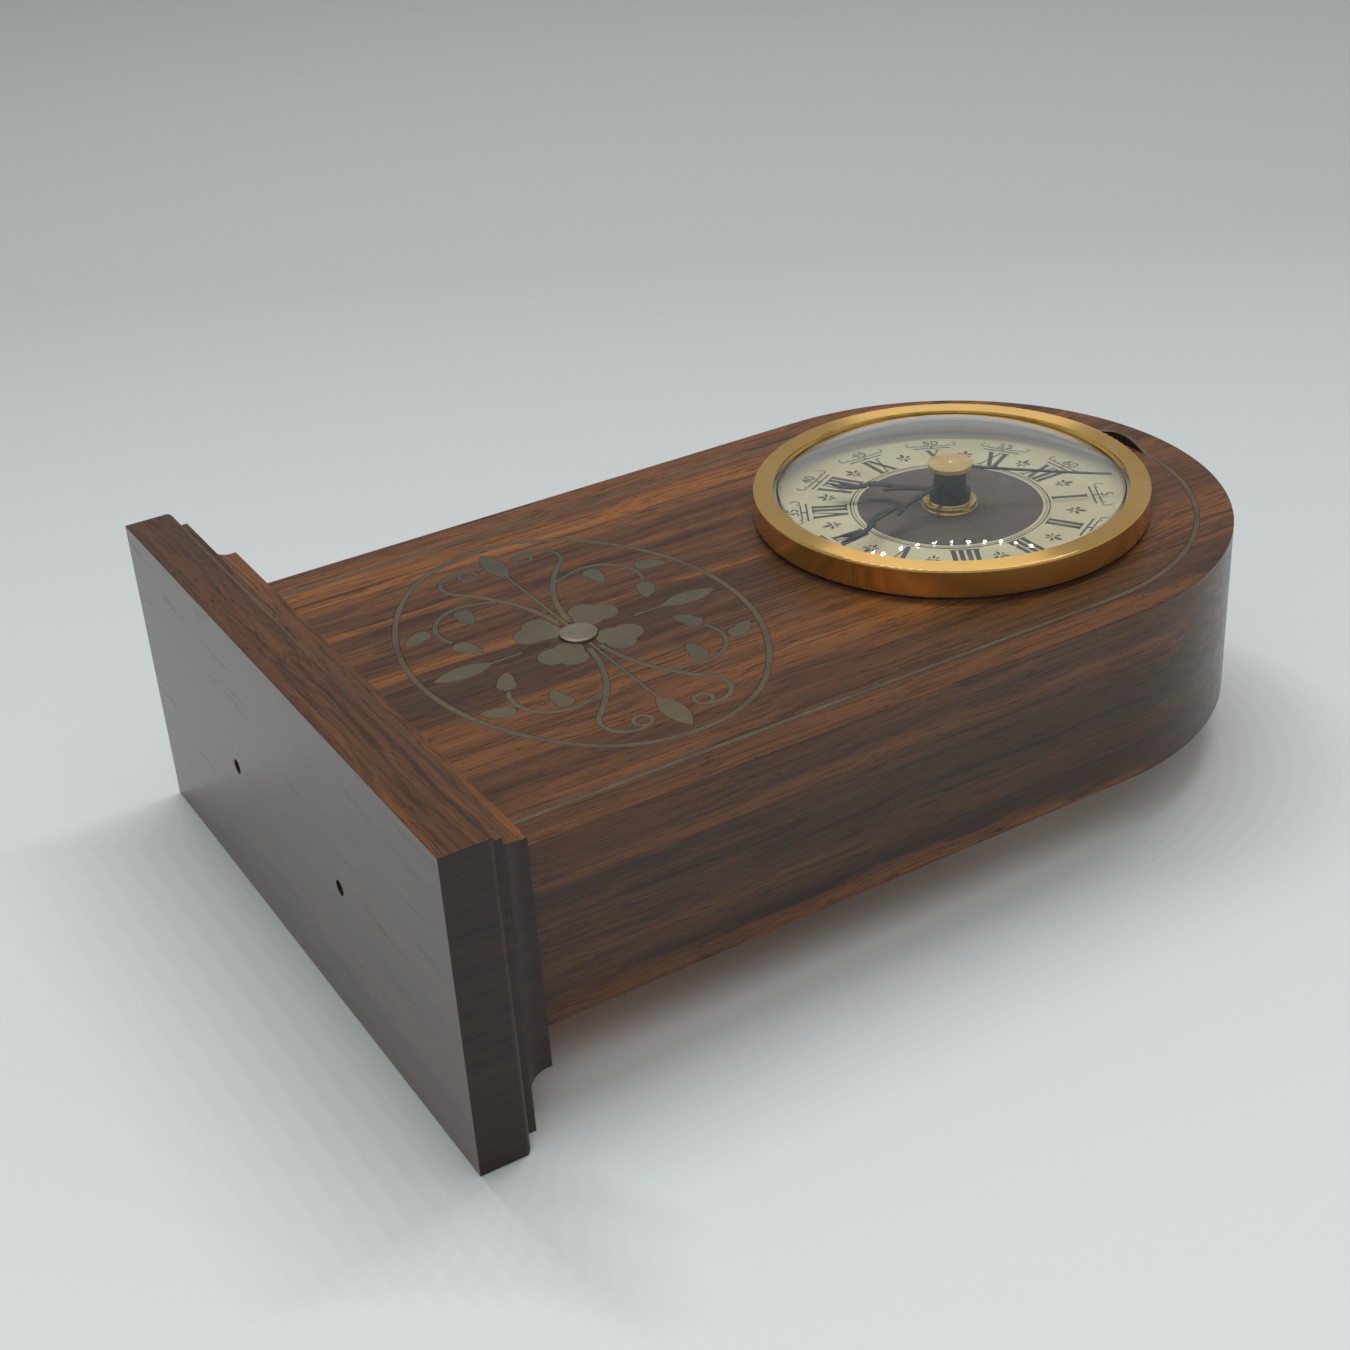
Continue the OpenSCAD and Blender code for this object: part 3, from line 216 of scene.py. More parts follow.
# %% Choose the layers of the grain
ALONG_GRAIN = 0.028
WANDER, WANDERS_PER_METRE = 0.8 * MM, 30
TONES_PER_METRE = 95
SECOND_PLACE = (0.31, 0.17, 0.23)
FLAMES = {
    "per_metre": 165, "detail": 3, "rough": 0.5, "bend": 0.4,
    "starts": 0.51, "full": 0.71, "most": 0.7, "colour": (0.42, 0.145, 0.026),
}
BANDS = {
    "per_metre": 40, "detail": 3, "rough": 0.5, "bend": 0.6,
    "starts": 0.47, "full": 0.64, "most": 0.65, "colour": (0.060, 0.032, 0.018),
}
LINES = {
    "per_metre": 420, "detail": 6, "rough": 0.68, "bend": 0.3,
    "starts": 0.55, "full": 0.66, "most": 0.8, "colour": (0.020, 0.010, 0.006),
}
THREADS = {
    "per_metre": 1700, "detail": 4, "rough": 0.65, "bend": 0.0,
    "starts": 0.47, "full": 0.64, "most": 0.72, "colour": (0.030, 0.014, 0.008),
}
print("flames, bands, lines and threads are drawn out", round(1 / ALONG_GRAIN), "times")

# %% [markdown]
# ## Streak the grain
#
# Orange flames come first, then broad dark bands, nearly black lines and fine threads. One noise
# could give all of them at once, but they would then share their places. Two of the layers are
# looked up at a second place, so that they fall independently of the others.

# %% Streak the grain
def grain_place(tree, stretch, turn, wander, shift=(0, 0, 0)):
    place = place_on(tree, stretch, turn, shift)
    return add(tree, "ShaderNodeVectorMath", {0: place, 1: wander}).outputs[0]


def streak(tree, wood, place, per_metre, detail, rough, bend, starts, full, most, colour):
    pattern = noise(tree, place, per_metre, detail, rough, bend)
    return mix(tree, spread(tree, pattern, starts, full, 0, most), wood, (*colour, 1))


def grain(tree, stretch, turn, tones):
    slow = noise(tree, place_on(tree), WANDERS_PER_METRE, 2)
    wander = spread(tree, slow, 0.3, 0.7, -WANDER, WANDER)
    along = grain_place(tree, stretch, turn, wander)
    beside = grain_place(tree, stretch, turn, wander, SECOND_PLACE)
    wood = ramp(tree, noise(tree, along, TONES_PER_METRE, 4, 0.6, 0.5), tones)
    for layer, place in ((FLAMES, beside), (BANDS, along), (LINES, along), (THREADS, beside)):
        wood = streak(tree, wood, place, **layer)
    return wood, along


print("helpers for grain:", [made.__name__ for made in (grain_place, streak, grain)])

# %% [markdown]
# ## The tones of the wood
#
# The plinth is a little darker than the case, and end grain is darker than both. One ramp could be
# dimmed for each, but separate stops keep every tone in hand. The other values say how large the
# marks of the wood are, how deep and how rough.

# %% Choose the tones of the wood
END_TONES = [
    (0.35, (0.018, 0.010, 0.007)),
    (0.55, (0.036, 0.018, 0.012)),
    (0.75, (0.060, 0.030, 0.018)),
]
CASE_TONES = [
    (0.30, (0.046, 0.020, 0.010)),
    (0.42, (0.100, 0.040, 0.016)),
    (0.55, (0.180, 0.067, 0.021)),
    (0.72, (0.290, 0.104, 0.026)),
]
PLINTH_TONES = [
    (0.30, (0.034, 0.016, 0.009)),
    (0.45, (0.085, 0.036, 0.014)),
    (0.60, (0.150, 0.058, 0.018)),
    (0.76, (0.230, 0.085, 0.022)),
]
# the flanks' darker tone is a painted shade, for the lesser light that falls on the sides
FLANK_PAINTED_SHADE, PORE_SHADE = (0.020, 0.012, 0.009, 1), (0.008, 0.005, 0.004, 1)
UNDERSIDE_SHADE = (0.072, 0.040, 0.028, 1)
# how far a face has to turn to start, and to count fully, as end grain, flank or underside
END_FROM, END_FULL = 0.35, 0.90
FLANK_FROM, FLANK_FULL, FLANK_MOST = 0.9, 0.3, 0.3
DOWN_FROM, DOWN_FULL = -0.7, -0.95
END_STRETCH, END_TURN, ENDS_PER_METRE = (0.4, 1, 0.12), (0.55, 0, 0), 700
WOOD_EDGE, PORE_DEPTH = 0.4 * MM, 0.2 * MM
PORE_STRETCH, PORES_PER_METRE, FLECKS_PER_METRE = 0.09, 3600, 420
WOOD_DENT, UNDERSIDE_DENT = 0.15, 0.06
SHEENS_PER_METRE, SMOOTHEST, ROUGHEST = 700, 0.27, 0.40
UNDERSIDE_COVER, UNDERSIDE_ROUGH = 0.72, 0.34
LACQUER, WORN_LACQUER, LACQUER_ROUGH = 0.68, 0.36, 0.2
print("tones of the case and the plinth:", len(CASE_TONES), len(PLINTH_TONES))

# %% [markdown]
# ## The two wood finishes
#
# The grain stands upright in the case and lies along the plinth. The way a face looks decides the
# rest: end grain is plain and dark, the flanks are polished and painted darker, a painted shade for
# the lesser light on the sides, and the underside of the plinth is smooth, with lacquer worn off in
# flecks. Each face could have a finish of its own, but masks from the normal let one finish serve
# them all. Pores dent the wood, and a Bevel node softens its edges.

# %% Make the two wood finishes
def rosewood(name, stretch, turn, end_axis, tones, gloss):
    material, tree, shader = start_finish(name)
    wood, along = grain(tree, stretch, turn, tones)
    looks = facing(tree)
    end = spread(tree, work_out(tree, "ABSOLUTE", looks[end_axis]), END_FROM, END_FULL)
    end_grain = noise(tree, place_on(tree, END_STRETCH, END_TURN), ENDS_PER_METRE, 4, 0.6)
    wood = mix(tree, end, wood, ramp(tree, end_grain, END_TONES))
    # the flanks are painted darker, a painted shade, and the same mask also polishes them below
    frontal = work_out(tree, "ABSOLUTE", looks[1])
    flank = spread(tree, frontal, FLANK_FROM, FLANK_FULL, 0, FLANK_MOST)
    wood = mix(tree, flank, wood, FLANK_PAINTED_SHADE)
    short_grain = place_on(tree, [max(v, PORE_STRETCH) for v in stretch], turn)
    pores = spread(tree, noise(tree, short_grain, PORES_PER_METRE, 1), 0.66, 0.72, 0, 0.8)
    wood = mix(tree, pores, wood, PORE_SHADE)
    downward = spread(tree, looks[2], DOWN_FROM, DOWN_FULL)
    wood = mix(tree, between(tree, downward, 0, UNDERSIDE_COVER), wood, UNDERSIDE_SHADE)
    tree.links.new(wood, shader.inputs["Base Color"])

    sheen = noise(tree, along, SHEENS_PER_METRE, 3)
    rough = spread(tree, sheen, 0.3, 0.7, SMOOTHEST, ROUGHEST)
    rough = between(tree, downward, rough, UNDERSIDE_ROUGH)
    tree.links.new(rough, shader.inputs["Roughness"])
    dents = {"Height": pores, "Normal": soft_edge(tree, WOOD_EDGE), "Distance": PORE_DEPTH}
    dents["Strength"] = between(tree, downward, WOOD_DENT, UNDERSIDE_DENT)
    bump = add(tree, "ShaderNodeBump", dents, invert=True)
    tree.links.new(bump.outputs["Normal"], shader.inputs["Normal"])

    flecks = noise(tree, short_grain, FLECKS_PER_METRE, 4, 0.65)
    worn = spread(tree, flecks, 0.56, 0.72, LACQUER, WORN_LACQUER)
    lacquer = work_out(tree, "MULTIPLY", downward, worn)
    tree.links.new(work_out(tree, "MAXIMUM", lacquer, flank), shader.inputs["Coat Weight"])
    shader.inputs["Coat Roughness"].default_value = LACQUER_ROUGH
    shader.inputs["Specular IOR Level"].default_value = gloss
    return material


upright, lying = (1, 1, ALONG_GRAIN), (ALONG_GRAIN, 1, 1)
case_wood = rosewood("rosewood_upright", upright, (0.06, 0.02, 0), 2, CASE_TONES, 0.28)
plinth_wood = rosewood("rosewood_lying", lying, (0, 0, 0.04), 0, PLINTH_TONES, 0.25)
print("wood finishes:", case_wood.name, plinth_wood.name)

# %% [markdown]
# ## Paint the wood
#
# The case is one arched block, and the plinth is one moulded board. Their faces could be painted
# one by one, but a CAD piece is of one material, so it gets one finish and keeps its mesh. The
# helper works whether a piece already has material slots or not.

# %% Paint the wood
def paint(material, *names):
    for name in names:
        piece = frame["nodes"][name]
        if not piece.material_slots:
            piece.data.materials.append(material)
        for slot in piece.material_slots:
            slot.material = material


paint(case_wood, "case_body")
paint(plinth_wood, "plinth")
print("pieces that can be painted:", len(frame["nodes"]))

# %% [markdown]
# ## Metal and plastic
#
# One recipe serves every smooth piece: a colour that clouds over into a duller one, a roughness
# that wanders, and a faint bump. A plain colour would be quicker, but it looks like paint, because
# no real surface is even.

# %% Write the recipe
FINER, SMOOTHER, ROUGHER = 7, 0.75, 1.25
CLOUD_DENT, CLOUD_DEPTH = 0.05, 0.05 * MM


def clouded(name, colour, dull, rough, per_metre, metallic=0.0, edge=0.0):
    material, tree, shader = start_finish(name)
    clouds = spread(tree, noise(tree, place_on(tree), per_metre, 5), 0.35, 0.70)
    tree.links.new(mix(tree, clouds, (*colour, 1), (*dull, 1)), shader.inputs["Base Color"])
    fine = noise(tree, place_on(tree), per_metre * FINER, 3)
    roughness = spread(tree, fine, 0.3, 0.7, rough * SMOOTHER, rough * ROUGHER)
    tree.links.new(roughness, shader.inputs["Roughness"])
    dents = {"Height": fine, "Strength": CLOUD_DENT, "Distance": CLOUD_DEPTH}
    bump = add(tree, "ShaderNodeBump", dents)
    if edge:
        tree.links.new(soft_edge(tree, edge), bump.inputs["Normal"])
    tree.links.new(bump.outputs["Normal"], shader.inputs["Normal"])
    shader.inputs["Metallic"].default_value = metallic
    return material


print("recipe for smooth finishes:", clouded.__name__)

# %% [markdown]
# ## The smooth finishes
#
# The inlay has tarnished to a grey olive, so it is only half metal. The movement's brass and steel
# are bright, and the moulded pieces and the dial's card have no metal at all. A table of recipes is
# shorter than a cell for each, and shows at a glance how the finishes differ.

# %% Make the smooth finishes
HAND_GLOSS = 0.2
# name: colour, duller colour, roughness, clouds per metre, share of metal, radius of soft edges
RECIPES = {
    "tarnished_brass": ((0.158, 0.122, 0.066), (0.078, 0.080, 0.062), 0.42, 48, 0.45),
    "faded_brass": ((0.140, 0.108, 0.060), (0.085, 0.062, 0.038), 0.40, 130, 0.35),
    # near black for the flanks of the sprung string: partly tarnish, partly painted shade
    "tarnish_and_painted_shade": ((0.030, 0.021, 0.014), (0.014, 0.010, 0.008), 0.6, 400),
    "rubbed_brass": ((0.22, 0.19, 0.13), (0.16, 0.14, 0.095), 0.42, 300, 0.4),
    "dull_brass": ((0.62, 0.44, 0.17), (0.50, 0.35, 0.12), 0.40, 400, 0.75, 0.3 * MM),
    "polished_brass": ((0.78, 0.60, 0.24), (0.66, 0.48, 0.17), 0.18, 300, 1.0, 0.5 * MM),
    "wheel_brass": ((0.72, 0.53, 0.22), (0.58, 0.40, 0.15), 0.30, 500, 1.0),
    "bright_steel": ((0.56, 0.56, 0.57), (0.44, 0.44, 0.45), 0.28, 500, 1.0),
    "zinc_sheet": ((0.50, 0.51, 0.52), (0.38, 0.39, 0.40), 0.38, 300, 1.0),
    "sintered_magnet": ((0.12, 0.12, 0.125), (0.08, 0.08, 0.085), 0.5, 700, 0.5),
    "enamelled_copper": ((0.60, 0.26, 0.10), (0.45, 0.17, 0.06), 0.32, 600, 1.0),
    "blackened_steel": ((0.035, 0.036, 0.042), (0.020, 0.020, 0.024), 0.36, 500, 0.4),
    "ivory_moulding": ((0.70, 0.68, 0.60), (0.62, 0.59, 0.50), 0.48, 120),
    "black_moulding": ((0.035, 0.035, 0.036), (0.024, 0.024, 0.025), 0.42, 300),
    "dull_nail": ((0.36, 0.32, 0.28), (0.26, 0.23, 0.20), 0.6, 900, 0.1),
    "resin_board": ((0.10, 0.19, 0.07), (0.07, 0.14, 0.05), 0.45, 300),
    "cell_jacket": ((0.06, 0.10, 0.20), (0.045, 0.075, 0.15), 0.30, 200, 0.3),
    "cream_card": ((0.555, 0.51, 0.335), (0.47, 0.42, 0.255), 0.55, 110),
    "brown_black_ink": ((0.032, 0.026, 0.022), (0.048, 0.038, 0.030), 0.5, 300),
    "dark_brown_centre": ((0.046, 0.033, 0.026), (0.060, 0.043, 0.033), 0.65, 300),
}
smooth = {name: clouded(name, *recipe) for name, recipe in RECIPES.items()}
hand_shader = smooth["blackened_steel"].node_tree.nodes["Principled BSDF"]
hand_shader.inputs["Specular IOR Level"].default_value = HAND_GLOSS
print("smooth finishes:", len(smooth))

# %% [markdown]
# ## Turned brass
#
# The bezel was spun on a lathe, and the tool left fine rings round the hand axis. The distance from
# that axis drives a one-dimensional noise, which gives rings for as long as the piece is round.
# Such rings stretch a highlight across themselves, so the shader is anisotropic, turned a quarter
# round. Faces that look forward are rougher than the sides.

# %% Make the turned brass
GOLD, DULL_GOLD = (0.88, 0.56, 0.19, 1), (0.78, 0.46, 0.13, 1)
STAINS_PER_METRE, SIDE_ROUGH, FRONT_ROUGH = 70, 0.14, 0.33
RINGS_PER_METRE, RING_DENT, RING_DEPTH = 7000, 0.08, 0.03 * MM
QUARTER_TURN = 0.25
turned_brass, tree, shader = start_finish("turned_brass")
centred = place_on(tree, (1, 0, 1), (0, 0, 0), (0, 0, -axis_z))
radius = add(tree, "ShaderNodeVectorMath", {0: centred}, operation="LENGTH").outputs["Value"]
tool_marks = {"W": radius, "Scale": RINGS_PER_METRE, "Detail": 3}
rings = add(tree, "ShaderNodeTexNoise", tool_marks, noise_dimensions="1D").outputs["Fac"]
stains = spread(tree, noise(tree, place_on(tree), STAINS_PER_METRE, 5), 0.40, 0.75)
tree.links.new(mix(tree, stains, GOLD, DULL_GOLD), shader.inputs["Base Color"])
roughness = spread(tree, facing(tree)[1], -0.2, -0.9, SIDE_ROUGH, FRONT_ROUGH)
tree.links.new(roughness, shader.inputs["Roughness"])
grooves = {"Height": rings, "Strength": RING_DENT, "Distance": RING_DEPTH}
lathe = add(tree, "ShaderNodeBump", grooves)
tree.links.new(lathe.outputs["Normal"], shader.inputs["Normal"])
shader.inputs["Metallic"].default_value = 1
shader.inputs["Anisotropic"].default_value = 1
shader.inputs["Anisotropic Rotation"].default_value = QUARTER_TURN
turning = add(tree, "ShaderNodeTangent", direction_type="RADIAL", axis="Y")
tree.links.new(turning.outputs["Tangent"], shader.inputs["Tangent"])
paint(turned_brass, "bezel", "lens_ring")
print("turned finish:", turned_brass.name)

# %% [markdown]
# ## Paint the smooth pieces
#
# Each finish goes to the pieces that are made of it. Most pieces of the movement are closed in, and
# they get their finish too, so that the part is whole when it is opened. A table shows at a glance
# what each piece is made of.

# %% Paint the smooth pieces
MADE_OF = {
    "tarnished_brass": ["flower_petals", "pointed_leaves", "scroll_stems", "sprig_leaves"],
    "faded_brass": ["border_line", "medallion_ring"],
    "rubbed_brass": ["flower_head"],
    "polished_brass": ["fixing_nut", "nut_washer", "threaded_neck"],
    "dull_brass": ["seconds_cap"],
    "wheel_brass": [
        "hour_wheel", "cannon_pinion", "motion_wheel", "centre_wheel", "third_wheel",
        "seconds_wheel", "index_wheel", "train_plate", "balance_bridge", "regulator",
    ],
    "bright_steel": [
        "setting_shaft", "balance_wheel", "balance_staff", "cover_screws", "hairspring",
    ],
    "dull_nail": ["plinth_nails"],
    "zinc_sheet": ["dial_pan", "contact_plus", "contact_minus"],
    "sintered_magnet": ["balance_magnets"],
    "enamelled_copper": ["drive_coil"],
    "blackened_steel": ["hour_hand", "minute_hand", "seconds_hand"],
    "ivory_moulding": ["movement_housing", "movement_cover", "coil_carrier"],
    "black_moulding": ["setting_knob"],
    "resin_board": ["circuit_board"],
    "cell_jacket": ["battery_cell"],
    "cream_card": ["dial"],
}
for finish, names in MADE_OF.items():
    paint(smooth[finish], *names)
print("pieces painted:", sum(len(names) for names in MADE_OF.values()))

# %% [markdown]
# ## New pieces
#
# Two things are drawn here and not in CAD: a sprung string and the print on the dial. They could be
# modelled by hand, but a list of points and faces is exact and easy to change. A new piece rides on
# the case's body.

# %% Helper for new pieces
def link_piece(name, points, faces, material, slot_name):
    mesh = bpy.data.meshes.new(name)
    mesh.from_pydata(points, [], faces)
    mesh.materials.append(material)
    piece = bpy.data.objects.new(name, mesh)
    bpy.context.scene.collection.objects.link(piece)
    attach(piece, "case")
    return piece


print("helper for new pieces:", link_piece.__name__)

# %% [markdown]
# ## The sprung border line
#
# Brass string is pressed into its groove in one length. At the top of this arch it has come out of
# the glue and bows up behind the bezel, with a faded face. Its flanks are painted near black,
# partly tarnish and partly painted shade. The string is rebuilt here as one swept bar, because a
# bar can rise out of the wood along its length.

# %% Rebuild the border line
STRING_W, STRING_T = 0.9 * MM, line_high.y - line_low.y
BOW_RIGHT, BOW_LEFT, BOW_UP = 5, -13, 1.7 * MM
CORNERS = 4
line_r = (line_high.x - line_low.x) / 2 - STRING_W / 2


def on_arch(degrees):
    angle = math.radians(degrees)
    out_x, out_z = math.sin(angle), math.cos(angle)
    along = min(max((BOW_RIGHT - degrees) / (BOW_RIGHT - BOW_LEFT), 0), 1)
    lift = BOW_UP * math.sin(math.pi * along)
    return line_r * out_x, axis_z + line_r * out_z, out_x, out_z, lift


left_foot, right_foot = (-line_r, line_low.z, -1, 0, 0.0), (line_r, line_low.z, 1, 0, 0.0)
stations = [left_foot, *(on_arch(degrees) for degrees in range(-90, 91)), right_foot]
points, faces = [], []
for x, z, out_x, out_z, lift in stations:
    front, back = front_y - lift, front_y - lift / 2 + STRING_T
    for side, y in ((-0.5, front), (0.5, front), (0.5, back), (-0.5, back)):
        points.append((x + out_x * side * STRING_W, y, z + out_z * side * STRING_W))
for low in range(0, len(points) - CORNERS, CORNERS):
    high = low + CORNERS
    for k in range(CORNERS):
        after = (k + 1) % CORNERS
        faces.append((low + k, high + k, high + after, low + after))
last = len(points) - 1
faces += [tuple(range(CORNERS)), tuple(range(last, last - CORNERS, -1))]
string = link_piece(
    "border_line_sprung", points, faces, smooth["faded_brass"], "aged_brass_inlay"
)
# the flanks take the near-black finish, partly tarnish and partly painted shade
string.data.materials.append(smooth["tarnish_and_painted_shade"])
for face in string.data.polygons:
    face.material_index = 0 if face.normal.y < -0.5 else 1
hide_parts("border_line")
print("border line rebuilt with", len(stations), "stations")

# %% [markdown]
# ## The lens
#
# The lens is a thin shell of clear plastic. A Principled shader with full transmission bends and
# mirrors light as it should, and patches of slight roughness stand for dust and polish. The lens is
# hidden from shadow and diffuse rays, because clear plastic hardly shades a dial.

# %% Make the lens clear
LENS_TINT, PLASTIC_IOR = (0.97, 0.99, 0.98, 1), 1.49
HAZES_PER_METRE, MOST_HAZE = 90, 0.02
lens_clear, tree, shader = start_finish("clear_plastic")
shader.inputs["Base Color"].default_value = LENS_TINT
shader.inputs["Transmission Weight"].default_value = 1
shader.inputs["IOR"].default_value = PLASTIC_IOR
patches = noise(tree, place_on(tree), HAZES_PER_METRE, 3)
haze = spread(tree, patches, 0.45, 0.75, 0.0, MOST_HAZE)
tree.links.new(haze, shader.inputs["Roughness"])
paint(lens_clear, "lens")
lens = frame["nodes"]["lens"]
lens.visible_shadow = False
lens.visible_diffuse = False
print("lens finish:", lens_clear.name)

# %% [markdown]
# ## Printing on the dial
#
# The dial is cream card, printed in a soft brown black. Printing could be a picture, but drawn
# shapes stay sharp at any size. Each mark is a flat outline in dial coordinates, millimetres from
# the hand axis. It is lifted by a hair and given the thickness of ink, and each print has a height
# of its own.

# %% Helpers for printing
INK = 0.02 * MM
HOURS, HOUR_ANGLE = 12, 30
brown_ink = smooth["brown_black_ink"]


def around(points, clock_angle, radius=0.0):
    s, c = math.sin(math.radians(clock_angle)), math.cos(math.radians(clock_angle))
    return [(x * c + (y + radius) * s, (y + radius) * c - x * s) for x, y in points]


def ring(inner, outer, start=0, end=360, at=(0, 0), steps=96):
    quads = []
    for k in range(steps):
        a, b = (math.radians(start + (end - start) * i / steps) for i in (k, k + 1))
        corners = ((inner, b), (inner, a), (outer, a), (outer, b))
        quads.append([(at[0] + r * math.sin(t), at[1] + r * math.cos(t)) for r, t in corners])
    return quads


def print_piece(name, outlines, material, lift):
    points, faces = [], []
    for outline in outlines:
        low = len(points)
        points += [(u * MM, dial_face_y - lift, axis_z + v * MM) for u, v in outline]
        faces.append(tuple(range(low, len(points))))
    piece = link_piece(name, points, faces, material, "printed_dial")
    thicken = piece.modifiers.new("ink", "SOLIDIFY")
    thicken.thickness = INK
    thicken.offset = 0
    print(name, "has", len(outlines), "outlines")


print("ink is", round(INK / MM, 3), "mm thick")

# %% [markdown]
# ## Roman hours
#
# A Roman numeral is only three shapes: an upright, a V and an X, with thick and thin strokes and
# small feet. A font could set them, but Blender's own has even strokes and no feet. Drawing them as
# polygons gives true radial numerals, with their feet to the middle.

# %% Draw the Roman hours
HOURS_LIFT = 0.030 * MM
NUMERAL_FOOT, NUMERAL_TALL = 18.4, 6.3
THICK, THIN, FOOT = 0.86, 0.30, 0.24
V_HALF, X_HALF = 1, 0.95
I_FOOT, X_FOOT = 1.33, 1.1
V_FOOT_THICK, V_FOOT_THIN = 1.3, 0.9
ADVANCE = {"I": 1.33, "V": 2.5, "X": 2.6}


def stroke(x0, x1, width):
    half = width / 2
    return [(x0 - half, 0), (x0 + half, 0), (x1 + half, NUMERAL_TALL), (x1 - half, NUMERAL_TALL)]


def foot(x, y, width):
    half = width / 2
    return [(x - half, y), (x + half, y), (x + half, y + FOOT), (x - half, y + FOOT)]


def letter(kind, x):
    top = NUMERAL_TALL - FOOT
    if kind == "I":
        return [stroke(x, x, THICK), foot(x, 0, I_FOOT), foot(x, top, I_FOOT)]
    if kind == "V":
        strokes = [stroke(x, x - V_HALF, THICK), stroke(x, x + V_HALF, THIN)]
        return [*strokes, foot(x - V_HALF, top, V_FOOT_THICK), foot(x + V_HALF, top, V_FOOT_THIN)]
    strokes = [stroke(x + X_HALF, x - X_HALF, THICK), stroke(x - X_HALF, x + X_HALF, THIN)]
    return strokes + [foot(x + side, y, X_FOOT) for side in (-X_HALF, X_HALF) for y in (0, top)]


hour_marks = []
for hour, word in enumerate("I II III IIII V VI VII VIII IX X XI XII".split(), 1):
    x = -sum(ADVANCE[kind] for kind in word) / 2
    for kind in word:
        x += ADVANCE[kind] / 2
        hour_marks += [around(shape, HOUR_ANGLE * hour, NUMERAL_FOOT) for shape in letter(kind, x)]
        x += ADVANCE[kind] / 2
print_piece("hour_numerals", hour_marks, brown_ink, HOURS_LIFT)

# %% [markdown]
# ## Rings and trays
#
# The middle of the dial is dark, with a double line round it. Under each minute number lies a tray:
# two lines, a short post between them and a curl at each end. Curve objects could draw these, but
# they would have to be turned into meshes. One ring function serves the circles and the curls.

# %% Draw the rings and trays
CENTRE_LIFT, LINES_LIFT = 0.020 * MM, 0.034 * MM
CENTRE_DISC, DOUBLE_LINE = (4.6, 16.6), ((17.2, 17.32), (17.7, 17.95))
# half width, radius and thickness of a tray's two lines
TRAY_LINES = ((3.6, 25.5, 0.36), (3.1, 26.6, 0.28))
POST_HALF, POST_HIGH, POST_LOW = 0.18, 26.6, 25.86
CURL_OUT, CURL_UP, CURL_INNER, CURL_OUTER = 3.9, 27.6, 0.75, 0.95
CURL_FROM, CURL_TO, CURL_STEPS = 20, 250, 14
print_piece("dial_centre", ring(*CENTRE_DISC), smooth["dark_brown_centre"], CENTRE_LIFT)
tray = [
    [(-half, low + thick), (half, low + thick), (half, low), (-half, low)]
    for half, low, thick in TRAY_LINES
]
tray.append(
    [(-POST_HALF, POST_HIGH), (POST_HALF, POST_HIGH), (POST_HALF, POST_LOW), (-POST_HALF, POST_LOW)]
)
lines = [quad for line in DOUBLE_LINE for quad in ring(*line)]
for hour in range(HOURS):
    spin = HOUR_ANGLE * hour
    lines += [around(bar, spin) for bar in tray]
    for side in (-1, 1):
        curl = around([(side * CURL_OUT, CURL_UP)], spin)[0]
        start, end = spin + side * CURL_FROM, spin + side * CURL_TO
        lines += ring(CURL_INNER, CURL_OUTER, start, end, curl, CURL_STEPS)
print_piece("dial_lines", lines, brown_ink, LINES_LIFT)

# %% [markdown]
# ## Half-hour flowers
#
# A small open flower marks each half hour. Its six leaves could be drawn point by point. A formula
# is shorter and keeps them even: the half width of a leaf follows half a sine wave.

# %% Draw the half-hour flowers
FLOWERS_LIFT, FLOWER_RADIUS = 0.038 * MM, 22.2
# start, length, width and direction of each leaf
FLOWER_LEAVES = (
    (0.2, 1.9, 0.75, 0),
    (0.15, 1.5, 0.5, 180),
    (0.3, 1.4, 0.55, -62),
    (0.3, 1.4, 0.55, 62),
    (0.5, 0.8, 0.4, -125),
    (0.5, 0.8, 0.4, 125),
)


def small_leaf(start, length, width, spin, steps=8):
    shares = [k / steps for k in range(steps + 1)]
    side = [(width / 2 * math.sin(math.pi * t), start + length * t) for t in shares]
    return around(side + [(-x, y) for x, y in reversed(side[1:-1])], spin)[::-1]


flower = [small_leaf(*leaf) for leaf in FLOWER_LEAVES]
half_hours = [HOUR_ANGLE * hour + HOUR_ANGLE / 2 for hour in range(HOURS)]
flowers = [around(leaf, spin, FLOWER_RADIUS) for spin in half_hours for leaf in flower]
print_piece("half_hour_flowers", flowers, brown_ink, FLOWERS_LIFT)

# %% [markdown]
# ## Minute numbers
#
# The five-minute numbers are plain figures. Blender's own font is good enough at three millimetres.
# Each number becomes outlines on the dial, and all twelve join into one piece.

# %% Draw the minute numbers
NUMBERS_LIFT = 0.042 * MM
NUMBER_FOOT, NUMBER_SIZE = 27.2, 3.1
number_marks = []
for hour in range(1, HOURS + 1):
    curve = bpy.data.curves.new("number", "FONT")
    curve.body, curve.align_x, curve.size = str(5 * hour), "CENTER", NUMBER_SIZE
    text = bpy.data.objects.new("number", curve)
    bpy.context.scene.collection.objects.link(text)
    bpy.context.view_layer.update()
    flat = text.evaluated_get(bpy.context.evaluated_depsgraph_get()).to_mesh()
    for face in flat.polygons:
        outline = [flat.vertices[i].co.xy for i in face.vertices]
        number_marks.append(around(outline, HOUR_ANGLE * hour, NUMBER_FOOT))
    bpy.data.objects.remove(text)
    bpy.data.curves.remove(curve)
print_piece("minute_numbers", number_marks, brown_ink, NUMBERS_LIFT)
